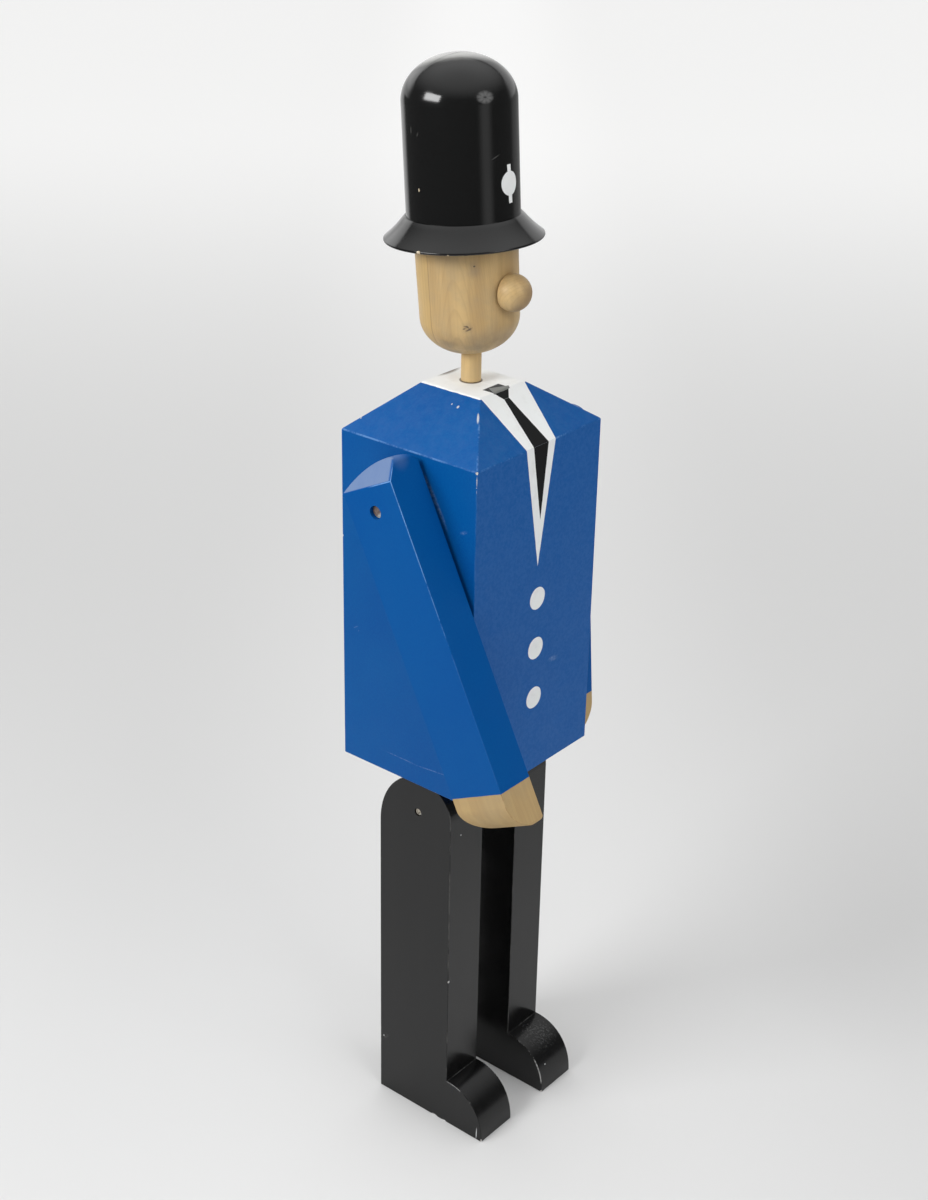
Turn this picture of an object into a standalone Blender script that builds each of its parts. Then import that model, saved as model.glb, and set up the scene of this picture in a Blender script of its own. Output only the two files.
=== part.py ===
"""Painted wooden policeman, a standing figure about a metre tall, sawn and turned from solid wood.

The figure faces -Y, its right hand is on -X and +Z is up. The floor is at z = 0, and the origin is
the middle of the bounding box on the floor. Every length is in metres and every angle in degrees.
"""
import math

import bmesh
import bpy
from mathutils import Euler, Matrix, Vector

COLLECTION_NAME = "policeman_figure"

# Torso: a box with a flat-topped pyramid for the shoulders
TORSO_WIDTH = 0.1704
TORSO_DEPTH = 0.1496
TORSO_WALL_HEIGHT = 0.3184
SHOULDER_RISE = 0.0386
COLLAR_WIDTH = 0.0590
COLLAR_DEPTH = 0.0628

# Legs: each leg and its foot are sawn from one board
LEG_WIDTH = 0.0461
LEG_DEPTH = 0.0856
LEG_SPACING = 0.0496
LEG_SETBACK = 0.0010
LEG_HEIGHT = 0.3768
LEG_CREST_FORWARD = 0.0070
LEG_REAR_ROUND = 0.0615
LEG_FRONT_ROUND = 0.0325
HEM_CLEARANCE = 0.0048
INSTEP_HEIGHT = 0.0503
TOE_REACH = 0.0449
TOE_FULLNESS = 2.25

# Hip block under the torso, between the legs
HIP_BLOCK_DEPTH = 0.0560
HIP_BLOCK_HEIGHT = 0.0680
HIP_RUNNING_GAP = 0.0005

# Arms: each sleeve and its hand are one block
ARM_WIDTH = 0.0585
ARM_THICKNESS = 0.0384
ARM_STANDOFF = 0.0042
ARM_PIVOT_BELOW_SHOULDER = {"right": 0.0419, "left": 0.0449}
ARM_PIVOT_FORWARD = 0.0025
ARM_SWING = {"right": 26.5, "left": 4.3}
SLEEVE_LENGTH = 0.2540
HAND_LENGTH = 0.0390
SHOULDER_FACET_START = 0.0217
SHOULDER_FACET_ANGLE = 52.7
SHOULDER_CREST = {"right": 0.0395, "left": 0.0340}
CREST_FORWARD = 0.0200
CREST_ARC_RADIUS = 0.0800
CREST_FRONT_ROUND = 0.0065
CREST_INNER_ROUND = 0.0130
CREST_INWARD = 0.0160
HAND_ROUND = 0.0270
HAND_OUTER_TAPER = 0.0300
HAND_SMALL_ROUND = 0.0040
HAND_FULLNESS = 1.8

# Pins that the limbs turn on, each in a counterbored hole
SHOULDER_PIN_DIAMETER = 0.0114
SHOULDER_PIN_RECESS = 0.0035
SHOULDER_PIN_DEPTH = 0.0300
HIP_PIN_DIAMETER = 0.0070
HIP_PIN_RECESS = 0.0012
HIP_PIN_DEPTH = 0.0200
HIP_PIN_BELOW_HEM = 0.0404
HIP_PIN_FORWARD = 0.0025

# Neck, head and nose
NECK_DIAMETER = 0.0174
NECK_SETBACK = 0.0028
NECK_LENGTH = 0.0255
NECK_SEAT = 0.0250
HEAD_TOP_RADIUS = 0.0433
HEAD_CHIN_RADIUS = 0.0423
HEAD_WALL_HEIGHT = 0.0643
CHIN_HEIGHT = 0.0326
HEAD_LEAN_BACK = 4.1
HEAD_LEAN_SIDE = 0.9
NOSE_RADIUS = 0.0157
NOSE_FLAT_SETBACK = 0.0048
NOSE_HEIGHT = 0.0573

# Helmet: crown and brim are turned from one block
CROWN_RADIUS = 0.0475
CROWN_WALL_HEIGHT = 0.0915
DOME_HEIGHT = 0.0373
BRIM_FOOT_RADIUS = 0.0490
BRIM_RADIUS = 0.0671
BRIM_HEIGHT = 0.0197
BRIM_EDGE = 0.0026
BRIM_SAG = 0.0010
HELMET_LEAN_BACK = 3.7
HELMET_LEAN_SIDE = 0.2
HELMET_SETBACK = 0.0020

# Clearances between pieces that touch
SEAT_GAP = 0.0003
PIN_CLEARANCE = 0.0003

# Fineness of the round stretches
TURNED_STEPS = 56
PIN_STEPS = 28
ARC_STEPS = 12
DOME_STEPS = 14
BRIM_STEPS = 5
BRIM_RIM_START = 60
MERGE_DISTANCE = 0.00001
CUTTER_OVERRUN = 0.0100

# Places worked out from the sizes above
HEM_HEIGHT = LEG_HEIGHT + HEM_CLEARANCE
SHOULDER_HEIGHT = HEM_HEIGHT + TORSO_WALL_HEIGHT
TORSO_TOP = SHOULDER_HEIGHT + SHOULDER_RISE
ARM_INNER_X = TORSO_WIDTH / 2 + ARM_STANDOFF
ARM_OUTER_X = ARM_INNER_X + ARM_THICKNESS
LEG_INNER_X = LEG_SPACING / 2
LEG_OUTER_X = LEG_INNER_X + LEG_WIDTH
SHOULDER_PIVOT_Z = {name: SHOULDER_HEIGHT - below for name, below in ARM_PIVOT_BELOW_SHOULDER.items()}
HIP_PIVOT_Z = HEM_HEIGHT - HIP_PIN_BELOW_HEM
HEAD_HEIGHT = CHIN_HEIGHT + HEAD_WALL_HEIGHT
SIDES = {"right": -1, "left": 1}

# Turns an outline drawn in x and y into one seen from the side (y, z) or from the front (x, z)
SIDE_VIEW = Matrix(((0, 0, 1), (1, 0, 0), (0, 1, 0))).to_4x4()
FRONT_VIEW = Matrix(((1, 0, 0), (0, 0, -1), (0, 1, 0))).to_4x4()


def clear_scene():
    """Removes whatever the scene starts with."""
    for item in list(bpy.data.objects):
        bpy.data.objects.remove(item, do_unlink=True)


def new_collection(name):
    collection = bpy.data.collections.new(name)
    bpy.context.scene.collection.children.link(collection)
    return collection


def make_material(name, color, roughness):
    """A plain finish: paint or wood, never metallic."""
    material = bpy.data.materials.new(name)
    material.use_nodes = True
    shader = material.node_tree.nodes["Principled BSDF"]
    shader.inputs["Base Color"].default_value = (*color, 1.0)
    shader.inputs["Roughness"].default_value = roughness
    shader.inputs["Metallic"].default_value = 0.0
    material.diffuse_color = (*color, 1.0)
    return material


def quarter_curve(center, reach, start, end, steps=ARC_STEPS, fullness=2.0):
    """Points of an oval's quarter from angle start to end; fullness 2 is an ellipse, more is squarer."""
    points = []
    for step in range(steps + 1):
        angle = math.radians(start + (end - start) * step / steps)
        across = math.cos(angle)
        along = math.sin(angle)
        x = center[0] + reach[0] * math.copysign(abs(across) ** (2 / fullness), across)
        y = center[1] + reach[1] * math.copysign(abs(along) ** (2 / fullness), along)
        points.append((x, y))
    return points


def without_repeats(points):
    """Drops a point that falls on the one before it."""
    kept = []
    for point in points:
        if not kept or math.dist(point, kept[-1]) > MERGE_DISTANCE:
            kept.append(point)
    if math.dist(kept[0], kept[-1]) <= MERGE_DISTANCE:
        kept.pop()
    return kept


def mesh_object(name, mesh, collection, material=None):
    item = bpy.data.objects.new(name, mesh)
    collection.objects.link(item)
    if material is not None:
        item.data.materials.append(material)
    return item


def board(name, outline, thickness, view, collection, material=None):
    """A flat outline sawn to a thickness, centred on the plane it was drawn in."""
    curve = bpy.data.curves.new(name + "_outline", "CURVE")
    curve.dimensions = "2D"
    curve.fill_mode = "BOTH"
    curve.extrude = thickness / 2
    points = without_repeats(outline)
    spline = curve.splines.new("POLY")
    spline.points.add(len(points) - 1)
    for target, (x, y) in zip(spline.points, points):
        target.co = (x, y, 0.0, 1.0)
    spline.use_cyclic_u = True
    drawn = bpy.data.objects.new(name + "_outline", curve)
    collection.objects.link(drawn)
    bpy.context.view_layer.update()
    graph = bpy.context.evaluated_depsgraph_get()
    mesh = bpy.data.meshes.new_from_object(drawn.evaluated_get(graph))
    mesh.name = name
    mesh.materials.clear()
    bpy.data.objects.remove(drawn, do_unlink=True)
    mesh.transform(view)
    edit = bmesh.new()
    edit.from_mesh(mesh)
    bmesh.ops.remove_doubles(edit, verts=edit.verts, dist=MERGE_DISTANCE)
    bmesh.ops.recalc_face_normals(edit, faces=edit.faces)
    edit.to_mesh(mesh)
    edit.free()
    return mesh_object(name, mesh, collection, material)


def block(name, size, collection, material=None):
    """A box of the given size, centred on its own origin."""
    mesh = bpy.data.meshes.new(name)
    edit = bmesh.new()
    bmesh.ops.create_cube(edit, size=1.0)
    bmesh.ops.scale(edit, vec=Vector(size), verts=edit.verts)
    edit.to_mesh(mesh)
    edit.free()
    return mesh_object(name, mesh, collection, material)


def turned(name, profile, collection, material=None, steps=TURNED_STEPS):
    """A lathe shape: the profile of (radius, height) runs down its outer side."""
    mesh = bpy.data.meshes.new(name)
    points = without_repeats(profile)
    edges = [(index, index + 1) for index in range(len(points) - 1)]
    mesh.from_pydata([(radius, 0.0, height) for radius, height in points], edges, [])
    item = mesh_object(name, mesh, collection, material)
    screw = item.modifiers.new("turning", "SCREW")
    screw.axis = "Z"
    screw.angle = math.tau
    screw.steps = steps
    screw.render_steps = steps
    screw.use_merge_vertices = True
    screw.merge_threshold = MERGE_DISTANCE
    screw.use_smooth_shade = True
    return item


def dowel(name, diameter, length, direction, collection, material=None, steps=PIN_STEPS):
    """A round bar along X or Z, centred on its own origin."""
    mesh = bpy.data.meshes.new(name)
    edit = bmesh.new()
    radius = diameter / 2
    bmesh.ops.create_cone(edit, cap_ends=True, segments=steps, radius1=radius, radius2=radius, depth=length)
    if direction == "X":
        bmesh.ops.rotate(edit, matrix=Matrix.Rotation(math.radians(90), 3, "Y"), verts=edit.verts)
    edit.to_mesh(mesh)
    edit.free()
    mesh.shade_smooth()
    mesh.set_sharp_from_angle(angle=math.radians(40))
    return mesh_object(name, mesh, collection, material)


def place(item, location, parent, rotation=(0.0, 0.0, 0.0)):
    item.parent = parent
    item.location = location
    item.rotation_euler = [math.radians(angle) for angle in rotation]


def combine(target, tool, operation):
    """Adds a Boolean with a cutter, which stays out of the finished figure."""
    modifier = target.modifiers.new(tool.name, "BOOLEAN")
    modifier.operation = operation
    modifier.solver = "EXACT"
    modifier.object = tool
    tool.hide_render = True
    tool.display_type = "WIRE"


def pin_hole(target, diameter, inner_x, outer_x, height, depth_y, side, cutters, parent):
    """Drills a target for a pin that runs along X, between two distances from the middle."""
    length = outer_x - inner_x
    cutter = dowel(target.name + "_pin_hole", diameter + 2 * PIN_CLEARANCE, length, "X", cutters)
    place(cutter, (side * (inner_x + length / 2), depth_y, height), parent)
    combine(target, cutter, "DIFFERENCE")


def make_torso(parts, cutters, figure, paint):
    """The body block, with shoulders that slope in to the flat collar."""
    torso = block("torso", (TORSO_WIDTH, TORSO_DEPTH, TORSO_WALL_HEIGHT), parts, paint)
    edit = bmesh.new()
    edit.from_mesh(torso.data)
    edit.faces.ensure_lookup_table()
    top = max(edit.faces, key=lambda face: face.calc_center_median().z)
    raised = bmesh.ops.extrude_face_region(edit, geom=[top])["geom"]
    corners = [item for item in raised if isinstance(item, bmesh.types.BMVert)]
    bmesh.ops.delete(edit, geom=[top], context="FACES_ONLY")
    bmesh.ops.scale(edit, vec=(COLLAR_WIDTH / TORSO_WIDTH, COLLAR_DEPTH / TORSO_DEPTH, 1.0), verts=corners)
    bmesh.ops.translate(edit, vec=(0.0, 0.0, SHOULDER_RISE), verts=corners)
    bmesh.ops.recalc_face_normals(edit, faces=edit.faces)
    edit.to_mesh(torso.data)
    edit.free()
    place(torso, (0.0, 0.0, HEM_HEIGHT + TORSO_WALL_HEIGHT / 2), figure)

    neck_bore = dowel("torso_neck_bore", NECK_DIAMETER + 2 * PIN_CLEARANCE, NECK_SEAT + CUTTER_OVERRUN, "Z",
                      cutters)
    bore_middle = TORSO_TOP - SEAT_GAP + (CUTTER_OVERRUN - NECK_SEAT) / 2
    place(neck_bore, (0.0, NECK_SETBACK, bore_middle), figure)
    combine(torso, neck_bore, "DIFFERENCE")
    for name, side in SIDES.items():
        drill = dowel("torso_" + name + "_shoulder_bore", SHOULDER_PIN_DIAMETER + 2 * PIN_CLEARANCE,
                      SHOULDER_PIN_DEPTH + SEAT_GAP + CUTTER_OVERRUN, "X", cutters)
        middle = TORSO_WIDTH / 2 + (CUTTER_OVERRUN - SHOULDER_PIN_DEPTH - SEAT_GAP) / 2
        place(drill, (side * middle, -ARM_PIVOT_FORWARD, SHOULDER_PIVOT_Z[name]), figure)
        combine(torso, drill, "DIFFERENCE")
    return torso


def leg_outline():
    """A leg and its foot from the side, as (y, z): back of the leg, rounded top, front, toe and sole."""
    rear = LEG_SETBACK + LEG_DEPTH / 2
    front = LEG_SETBACK - LEG_DEPTH / 2
    crest = LEG_SETBACK - LEG_CREST_FORWARD
    outline = [(rear, 0.0)]
    outline += quarter_curve((crest, LEG_HEIGHT - LEG_REAR_ROUND), (rear - crest, LEG_REAR_ROUND), 0, 90)
    outline += quarter_curve((crest, LEG_HEIGHT - LEG_FRONT_ROUND), (crest - front, LEG_FRONT_ROUND), 90, 180)
    outline += quarter_curve((front, 0.0), (TOE_REACH, INSTEP_HEIGHT), 90, 180, fullness=TOE_FULLNESS)
    return outline


def make_leg(name, side, parts, cutters, figure, paint):
    leg = board(name + "_leg", leg_outline(), LEG_WIDTH, SIDE_VIEW, parts, paint)
    place(leg, (side * (LEG_INNER_X + LEG_WIDTH / 2), 0.0, 0.0), figure)
    pin_hole(leg, HIP_PIN_DIAMETER, LEG_INNER_X - CUTTER_OVERRUN, LEG_OUTER_X + CUTTER_OVERRUN, HIP_PIVOT_Z,
             -HIP_PIN_FORWARD, side, cutters, figure)
    return leg


def make_hip_block(parts, cutters, figure, paint):
    """The block that the legs hang on, hidden behind the right hand."""
    width = LEG_SPACING - 2 * HIP_RUNNING_GAP
    hip = block("hip_block", (width, HIP_BLOCK_DEPTH, HIP_BLOCK_HEIGHT), parts, paint)
    place(hip, (0.0, LEG_SETBACK, HEM_HEIGHT - SEAT_GAP - HIP_BLOCK_HEIGHT / 2), figure)
    for name, side in SIDES.items():
        drill = dowel("hip_block_" + name + "_bore", HIP_PIN_DIAMETER + 2 * PIN_CLEARANCE,
                      HIP_PIN_DEPTH + SEAT_GAP + CUTTER_OVERRUN, "X", cutters)
        middle = width / 2 + (CUTTER_OVERRUN - HIP_PIN_DEPTH - SEAT_GAP) / 2
        place(drill, (side * middle, -HIP_PIN_FORWARD, HIP_PIVOT_Z), figure)
        combine(hip, drill, "DIFFERENCE")
    return hip


def arm_side_outline(crest):
    """An arm from the side, as (y, z) from its pivot: the round over the shoulder and the rounded palm."""
    half = ARM_WIDTH / 2
    bottom = -(SLEEVE_LENGTH + HAND_LENGTH)
    arc_center = (-CREST_FORWARD, crest - CREST_ARC_RADIUS)
    sweep_end = math.degrees(math.acos((half + CREST_FORWARD) / CREST_ARC_RADIUS))
    outline = quarter_curve(arc_center, (CREST_ARC_RADIUS, CREST_ARC_RADIUS), sweep_end, 90)
    outline += quarter_curve((-CREST_FORWARD, crest - CREST_FRONT_ROUND),
                             (half - CREST_FORWARD, CREST_FRONT_ROUND), 90, 180)
    outline += quarter_curve((-half + HAND_SMALL_ROUND, bottom + HAND_SMALL_ROUND),
                             (HAND_SMALL_ROUND, HAND_SMALL_ROUND), 180, 270, steps=ARC_STEPS // 2)
    outline += quarter_curve((half - HAND_ROUND, bottom + HAND_ROUND), (HAND_ROUND, HAND_ROUND), 270, 360,
                             fullness=HAND_FULLNESS)
    return outline


def arm_front_outline(side, crest):
    """An arm from the front, as (x, z) from the middle of its thickness at the pivot."""
    half = ARM_THICKNESS / 2
    bottom = -(SLEEVE_LENGTH + HAND_LENGTH)
    facet_run = (crest - SHOULDER_FACET_START) / math.tan(math.radians(SHOULDER_FACET_ANGLE))
    crest_middle = -half + CREST_INWARD
    outline = [(-half, SHOULDER_FACET_START), (-half + facet_run, crest)]
    outline += quarter_curve((crest_middle, crest - CREST_INNER_ROUND),
                             (half - crest_middle, CREST_INNER_ROUND), 90, 0)
    outline += quarter_curve((half - HAND_SMALL_ROUND, bottom + HAND_SMALL_ROUND),
                             (HAND_SMALL_ROUND, HAND_SMALL_ROUND), 0, -90, steps=ARC_STEPS // 2)
    outline += quarter_curve((-half + HAND_OUTER_TAPER, bottom + HAND_ROUND), (HAND_OUTER_TAPER, HAND_ROUND),
                             270, 180, fullness=HAND_FULLNESS)
    return [(-side * x, z) for x, z in outline]


def make_arm(name, side, parts, cutters, figure, paint, wood):
    """A sleeve and hand, shaped where the outline from the side and the one from the front meet."""
    swing = (-ARM_SWING[name], 0.0, 0.0)
    crest = SHOULDER_CREST[name]
    pivot = (side * (ARM_INNER_X + ARM_THICKNESS / 2), -ARM_PIVOT_FORWARD, SHOULDER_PIVOT_Z[name])
    arm = board(name + "_arm", arm_side_outline(crest), ARM_THICKNESS + CUTTER_OVERRUN, SIDE_VIEW, parts,
                paint)
    arm.data.materials.append(wood)
    place(arm, pivot, figure, swing)
    outline = board(name + "_arm_front", arm_front_outline(side, crest), ARM_WIDTH + CUTTER_OVERRUN,
                    FRONT_VIEW, cutters)
    place(outline, pivot, figure, swing)
    combine(arm, outline, "INTERSECT")
    pin_hole(arm, SHOULDER_PIN_DIAMETER, ARM_INNER_X - ARM_STANDOFF / 2, ARM_OUTER_X + CUTTER_OVERRUN,
             SHOULDER_PIVOT_Z[name], -ARM_PIVOT_FORWARD, side, cutters, figure)
    return arm


def make_pin(name, diameter, inner_x, outer_x, depth_y, height, side, parts, figure, wood):
    """A dowel that a limb turns on, between two distances from the middle of the figure."""
    pin = dowel(name, diameter, outer_x - inner_x, "X", parts, wood)
    place(pin, (side * (inner_x + outer_x) / 2, depth_y, height), figure)
    return pin


def make_neck(parts, figure, wood):
    """The dowel between the torso and the head, upright and seated at both ends."""
    length = NECK_LENGTH + 2 * NECK_SEAT
    neck = dowel("neck_dowel", NECK_DIAMETER, length, "Z", parts, wood, TURNED_STEPS // 2)
    place(neck, (0.0, NECK_SETBACK, TORSO_TOP + NECK_LENGTH / 2), figure)
    return neck


def make_head(parts, cutters, figure, wood):
    """The turned head: a nearly straight wall over a rounded chin, leaning back on the neck."""
    profile = [(0.0, HEAD_HEIGHT), (HEAD_TOP_RADIUS, HEAD_HEIGHT)]
    profile += quarter_curve((0.0, CHIN_HEIGHT), (HEAD_CHIN_RADIUS, CHIN_HEIGHT), 0, -90, steps=DOME_STEPS)
    head = turned("head", profile, parts, wood)
    place(head, (0.0, NECK_SETBACK, TORSO_TOP + NECK_LENGTH), figure, (-HEAD_LEAN_BACK, -HEAD_LEAN_SIDE, 0.0))
    bore_length = NECK_SEAT + SEAT_GAP + CUTTER_OVERRUN
    bore = dowel("head_neck_bore", NECK_DIAMETER + 2 * PIN_CLEARANCE, bore_length, "Z", cutters,
                 steps=TURNED_STEPS // 2)
    bore_top = TORSO_TOP + NECK_LENGTH + NECK_SEAT + SEAT_GAP
    place(bore, (0.0, NECK_SETBACK, bore_top - bore_length / 2), figure)
    combine(head, bore, "DIFFERENCE")
    return head


def make_nose(parts, head, wood):
    """A ball with a flat back, on the front of the head."""
    flat_angle = math.degrees(math.asin(NOSE_FLAT_SETBACK / NOSE_RADIUS))
    ball = (NOSE_RADIUS, NOSE_RADIUS)
    profile = quarter_curve((0.0, 0.0), ball, 90, -flat_angle, steps=DOME_STEPS)
    profile.append((0.0, -NOSE_FLAT_SETBACK))
    nose = turned("nose", profile, parts, wood, TURNED_STEPS // 2)
    share = (NOSE_HEIGHT - CHIN_HEIGHT) / HEAD_WALL_HEIGHT
    wall_radius = HEAD_CHIN_RADIUS + (HEAD_TOP_RADIUS - HEAD_CHIN_RADIUS) * share
    flare = math.degrees(math.atan((HEAD_TOP_RADIUS - HEAD_CHIN_RADIUS) / HEAD_WALL_HEIGHT))
    reach = wall_radius + NOSE_FLAT_SETBACK + SEAT_GAP
    place(nose, (0.0, -reach, NOSE_HEIGHT), head, (90.0 + flare, 0.0, 0.0))
    return nose


def make_helmet(parts, figure, paint):
    """The tall crown with its dome, and the brim that flares below it."""
    dome_start = BRIM_HEIGHT + CROWN_WALL_HEIGHT
    edge = BRIM_EDGE / 2
    profile = quarter_curve((0.0, dome_start), (CROWN_RADIUS, DOME_HEIGHT), 90, 0, steps=DOME_STEPS)
    profile += [(CROWN_RADIUS, BRIM_HEIGHT), (BRIM_FOOT_RADIUS, BRIM_HEIGHT)]
    rim = quarter_curve((BRIM_RADIUS - edge, edge), (edge, edge), BRIM_RIM_START, -90, steps=ARC_STEPS // 2)
    for step in range(1, BRIM_STEPS):
        share = step / BRIM_STEPS
        radius = BRIM_FOOT_RADIUS + (rim[0][0] - BRIM_FOOT_RADIUS) * share
        straight = BRIM_HEIGHT + (rim[0][1] - BRIM_HEIGHT) * share
        profile.append((radius, straight - BRIM_SAG * math.sin(math.pi * share)))
    profile += rim
    profile.append((0.0, 0.0))
    helmet = turned("helmet", profile, parts, paint)
    lean = Euler((math.radians(-HEAD_LEAN_BACK), math.radians(-HEAD_LEAN_SIDE), 0.0))
    skew = math.radians(math.hypot(HEAD_LEAN_BACK - HELMET_LEAN_BACK, HEAD_LEAN_SIDE - HELMET_LEAN_SIDE))
    seat = Vector((0.0, HELMET_SETBACK, HEAD_HEIGHT + SEAT_GAP + HEAD_TOP_RADIUS * math.sin(skew)))
    seat.rotate(lean)
    neck_top = Vector((0.0, NECK_SETBACK, TORSO_TOP + NECK_LENGTH))
    place(helmet, neck_top + seat, figure, (-HELMET_LEAN_BACK, -HELMET_LEAN_SIDE, 0.0))
    return helmet


def center_on_floor(figure, parts):
    """Moves the figure so that the middle of its bounding box is over the origin."""
    bpy.context.view_layer.update()
    graph = bpy.context.evaluated_depsgraph_get()
    corners = []
    for item in parts.objects:
        shown = item.evaluated_get(graph)
        corners += [shown.matrix_world @ vertex.co for vertex in shown.data.vertices]
    for axis in (0, 1):
        places = [corner[axis] for corner in corners]
        figure.location[axis] = -(min(places) + max(places)) / 2
    bpy.context.view_layer.update()


def main():
    clear_scene()
    parts = new_collection(COLLECTION_NAME)
    cutters = new_collection("cutters")
    figure = bpy.data.objects.new("figure", None)
    bpy.context.scene.collection.objects.link(figure)

    blue = make_material("blue_paint", (0.006, 0.095, 0.36), 0.42)
    black_satin = make_material("black_trouser_paint", (0.022, 0.022, 0.023), 0.40)
    black_gloss = make_material("black_helmet_paint", (0.010, 0.010, 0.010), 0.15)
    wood = make_material("bare_wood", (0.50, 0.34, 0.16), 0.50)

    make_torso(parts, cutters, figure, blue)
    make_hip_block(parts, cutters, figure, black_satin)
    make_neck(parts, figure, wood)
    head = make_head(parts, cutters, figure, wood)
    make_nose(parts, head, wood)
    make_helmet(parts, figure, black_gloss)
    for name, side in SIDES.items():
        make_arm(name, side, parts, cutters, figure, blue, wood)
        make_leg(name, side, parts, cutters, figure, black_satin)
        make_pin(name + "_shoulder_pin", SHOULDER_PIN_DIAMETER, TORSO_WIDTH / 2 - SHOULDER_PIN_DEPTH,
                 ARM_OUTER_X - SHOULDER_PIN_RECESS, -ARM_PIVOT_FORWARD, SHOULDER_PIVOT_Z[name], side, parts,
                 figure, wood)
        make_pin(name + "_hip_pin", HIP_PIN_DIAMETER, LEG_INNER_X - HIP_RUNNING_GAP - HIP_PIN_DEPTH,
                 LEG_OUTER_X - HIP_PIN_RECESS, -HIP_PIN_FORWARD, HIP_PIVOT_Z, side, parts, figure, wood)
    center_on_floor(figure, parts)


main()
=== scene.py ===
"""The looks of a painted wooden policeman figure: paint, bare wood, wear, studio light and camera.

Lengths are in metres and angles in degrees. The figure faces -Y and its right hand is on -X.
"""

import math

import bmesh
import bpy
from mathutils import Euler, Matrix, Vector, noise


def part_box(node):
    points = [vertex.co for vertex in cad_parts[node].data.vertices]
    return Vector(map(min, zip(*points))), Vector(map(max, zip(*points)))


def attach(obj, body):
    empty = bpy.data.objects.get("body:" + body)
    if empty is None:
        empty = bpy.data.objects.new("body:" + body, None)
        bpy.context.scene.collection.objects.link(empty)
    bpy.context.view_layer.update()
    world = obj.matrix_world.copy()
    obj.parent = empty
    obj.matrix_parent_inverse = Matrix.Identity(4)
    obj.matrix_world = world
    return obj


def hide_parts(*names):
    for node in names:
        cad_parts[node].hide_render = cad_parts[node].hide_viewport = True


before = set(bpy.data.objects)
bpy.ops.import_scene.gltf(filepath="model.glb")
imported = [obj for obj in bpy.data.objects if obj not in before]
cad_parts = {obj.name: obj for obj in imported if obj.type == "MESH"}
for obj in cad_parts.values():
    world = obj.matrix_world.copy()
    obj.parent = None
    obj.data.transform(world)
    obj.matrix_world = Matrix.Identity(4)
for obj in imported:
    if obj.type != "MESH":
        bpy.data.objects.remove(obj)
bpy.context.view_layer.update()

# Sizes of the figure, as the solids have them
TORSO_LOW, TORSO_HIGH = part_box("torso")
FIGURE_Y = (TORSO_LOW.y + TORSO_HIGH.y) / 2
TORSO_WIDTH = TORSO_HIGH.x - TORSO_LOW.x
TORSO_DEPTH = TORSO_HIGH.y - TORSO_LOW.y
HEM_HEIGHT = TORSO_LOW.z
TORSO_TOP = TORSO_HIGH.z
SHOULDER_RISE = 0.0386
SHOULDER_HEIGHT = TORSO_TOP - SHOULDER_RISE
COLLAR_WIDTH = 0.0590
COLLAR_DEPTH = 0.0628

LEG_LOW, LEG_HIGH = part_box("left_leg")
LEG_WIDTH = LEG_HIGH.x - LEG_LOW.x
LEG_MIDDLE_X = (LEG_LOW.x + LEG_HIGH.x) / 2
LEG_HEIGHT = LEG_HIGH.z
LEG_DEPTH = 0.0856
LEG_SETBACK = 0.0010
LEG_CREST_FORWARD = 0.0070
LEG_REAR_ROUND = 0.0615
LEG_FRONT_ROUND = 0.0325
INSTEP_HEIGHT = 0.0503
TOE_REACH = 0.0449
TOE_FULLNESS = 2.25

ARM_WIDTH = 0.0585
ARM_THICKNESS = 0.0384
ARM_MIDDLE_X = (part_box("left_arm")[0].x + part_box("left_arm")[1].x) / 2
ARM_SWING = {"right": 26.5, "left": 4.3}
SLEEVE_LENGTH = 0.2540
HAND_LENGTH = 0.0390
SHOULDER_FACET_START = 0.0217
SHOULDER_FACET_ANGLE = 52.7
SHOULDER_CREST = {"right": 0.0395, "left": 0.0340}
CREST_FORWARD = 0.0200
CREST_ARC_RADIUS = 0.0800
CREST_FRONT_ROUND = 0.0065
CREST_INNER_ROUND = 0.0130
CREST_INWARD = 0.0160
HAND_ROUND = 0.0270
HAND_OUTER_TAPER = 0.0300
HAND_SMALL_ROUND = 0.0040
HAND_FULLNESS = 1.8

NECK_SETBACK = 0.0028
NECK_LENGTH = 0.0255
HEAD_TOP_RADIUS = 0.0433
HEAD_CHIN_RADIUS = 0.0423
HEAD_WALL_HEIGHT = 0.0643
CHIN_HEIGHT = 0.0326
HEAD_HEIGHT = CHIN_HEIGHT + HEAD_WALL_HEIGHT
HEAD_LEAN = (-4.1, -0.9)
NOSE_RADIUS = 0.0157
NOSE_FLAT_SETBACK = 0.0048
NOSE_HEIGHT = 0.0573

CROWN_RADIUS = 0.0475
CROWN_WALL_HEIGHT = 0.0915
DOME_HEIGHT = 0.0373
BRIM_FOOT_RADIUS = 0.0490
BRIM_RADIUS = 0.0671
BRIM_HEIGHT = 0.0197
BRIM_EDGE = 0.0026
BRIM_SAG = 0.0010
BRIM_RIM_START = 60
HELMET_LEAN = (-3.7, -0.2)
HELMET_SETBACK = 0.0020
SEAT_GAP = 0.0003
PIN_CLEARANCE = 0.0003
SIDES = {"right": -1, "left": 1}

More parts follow.
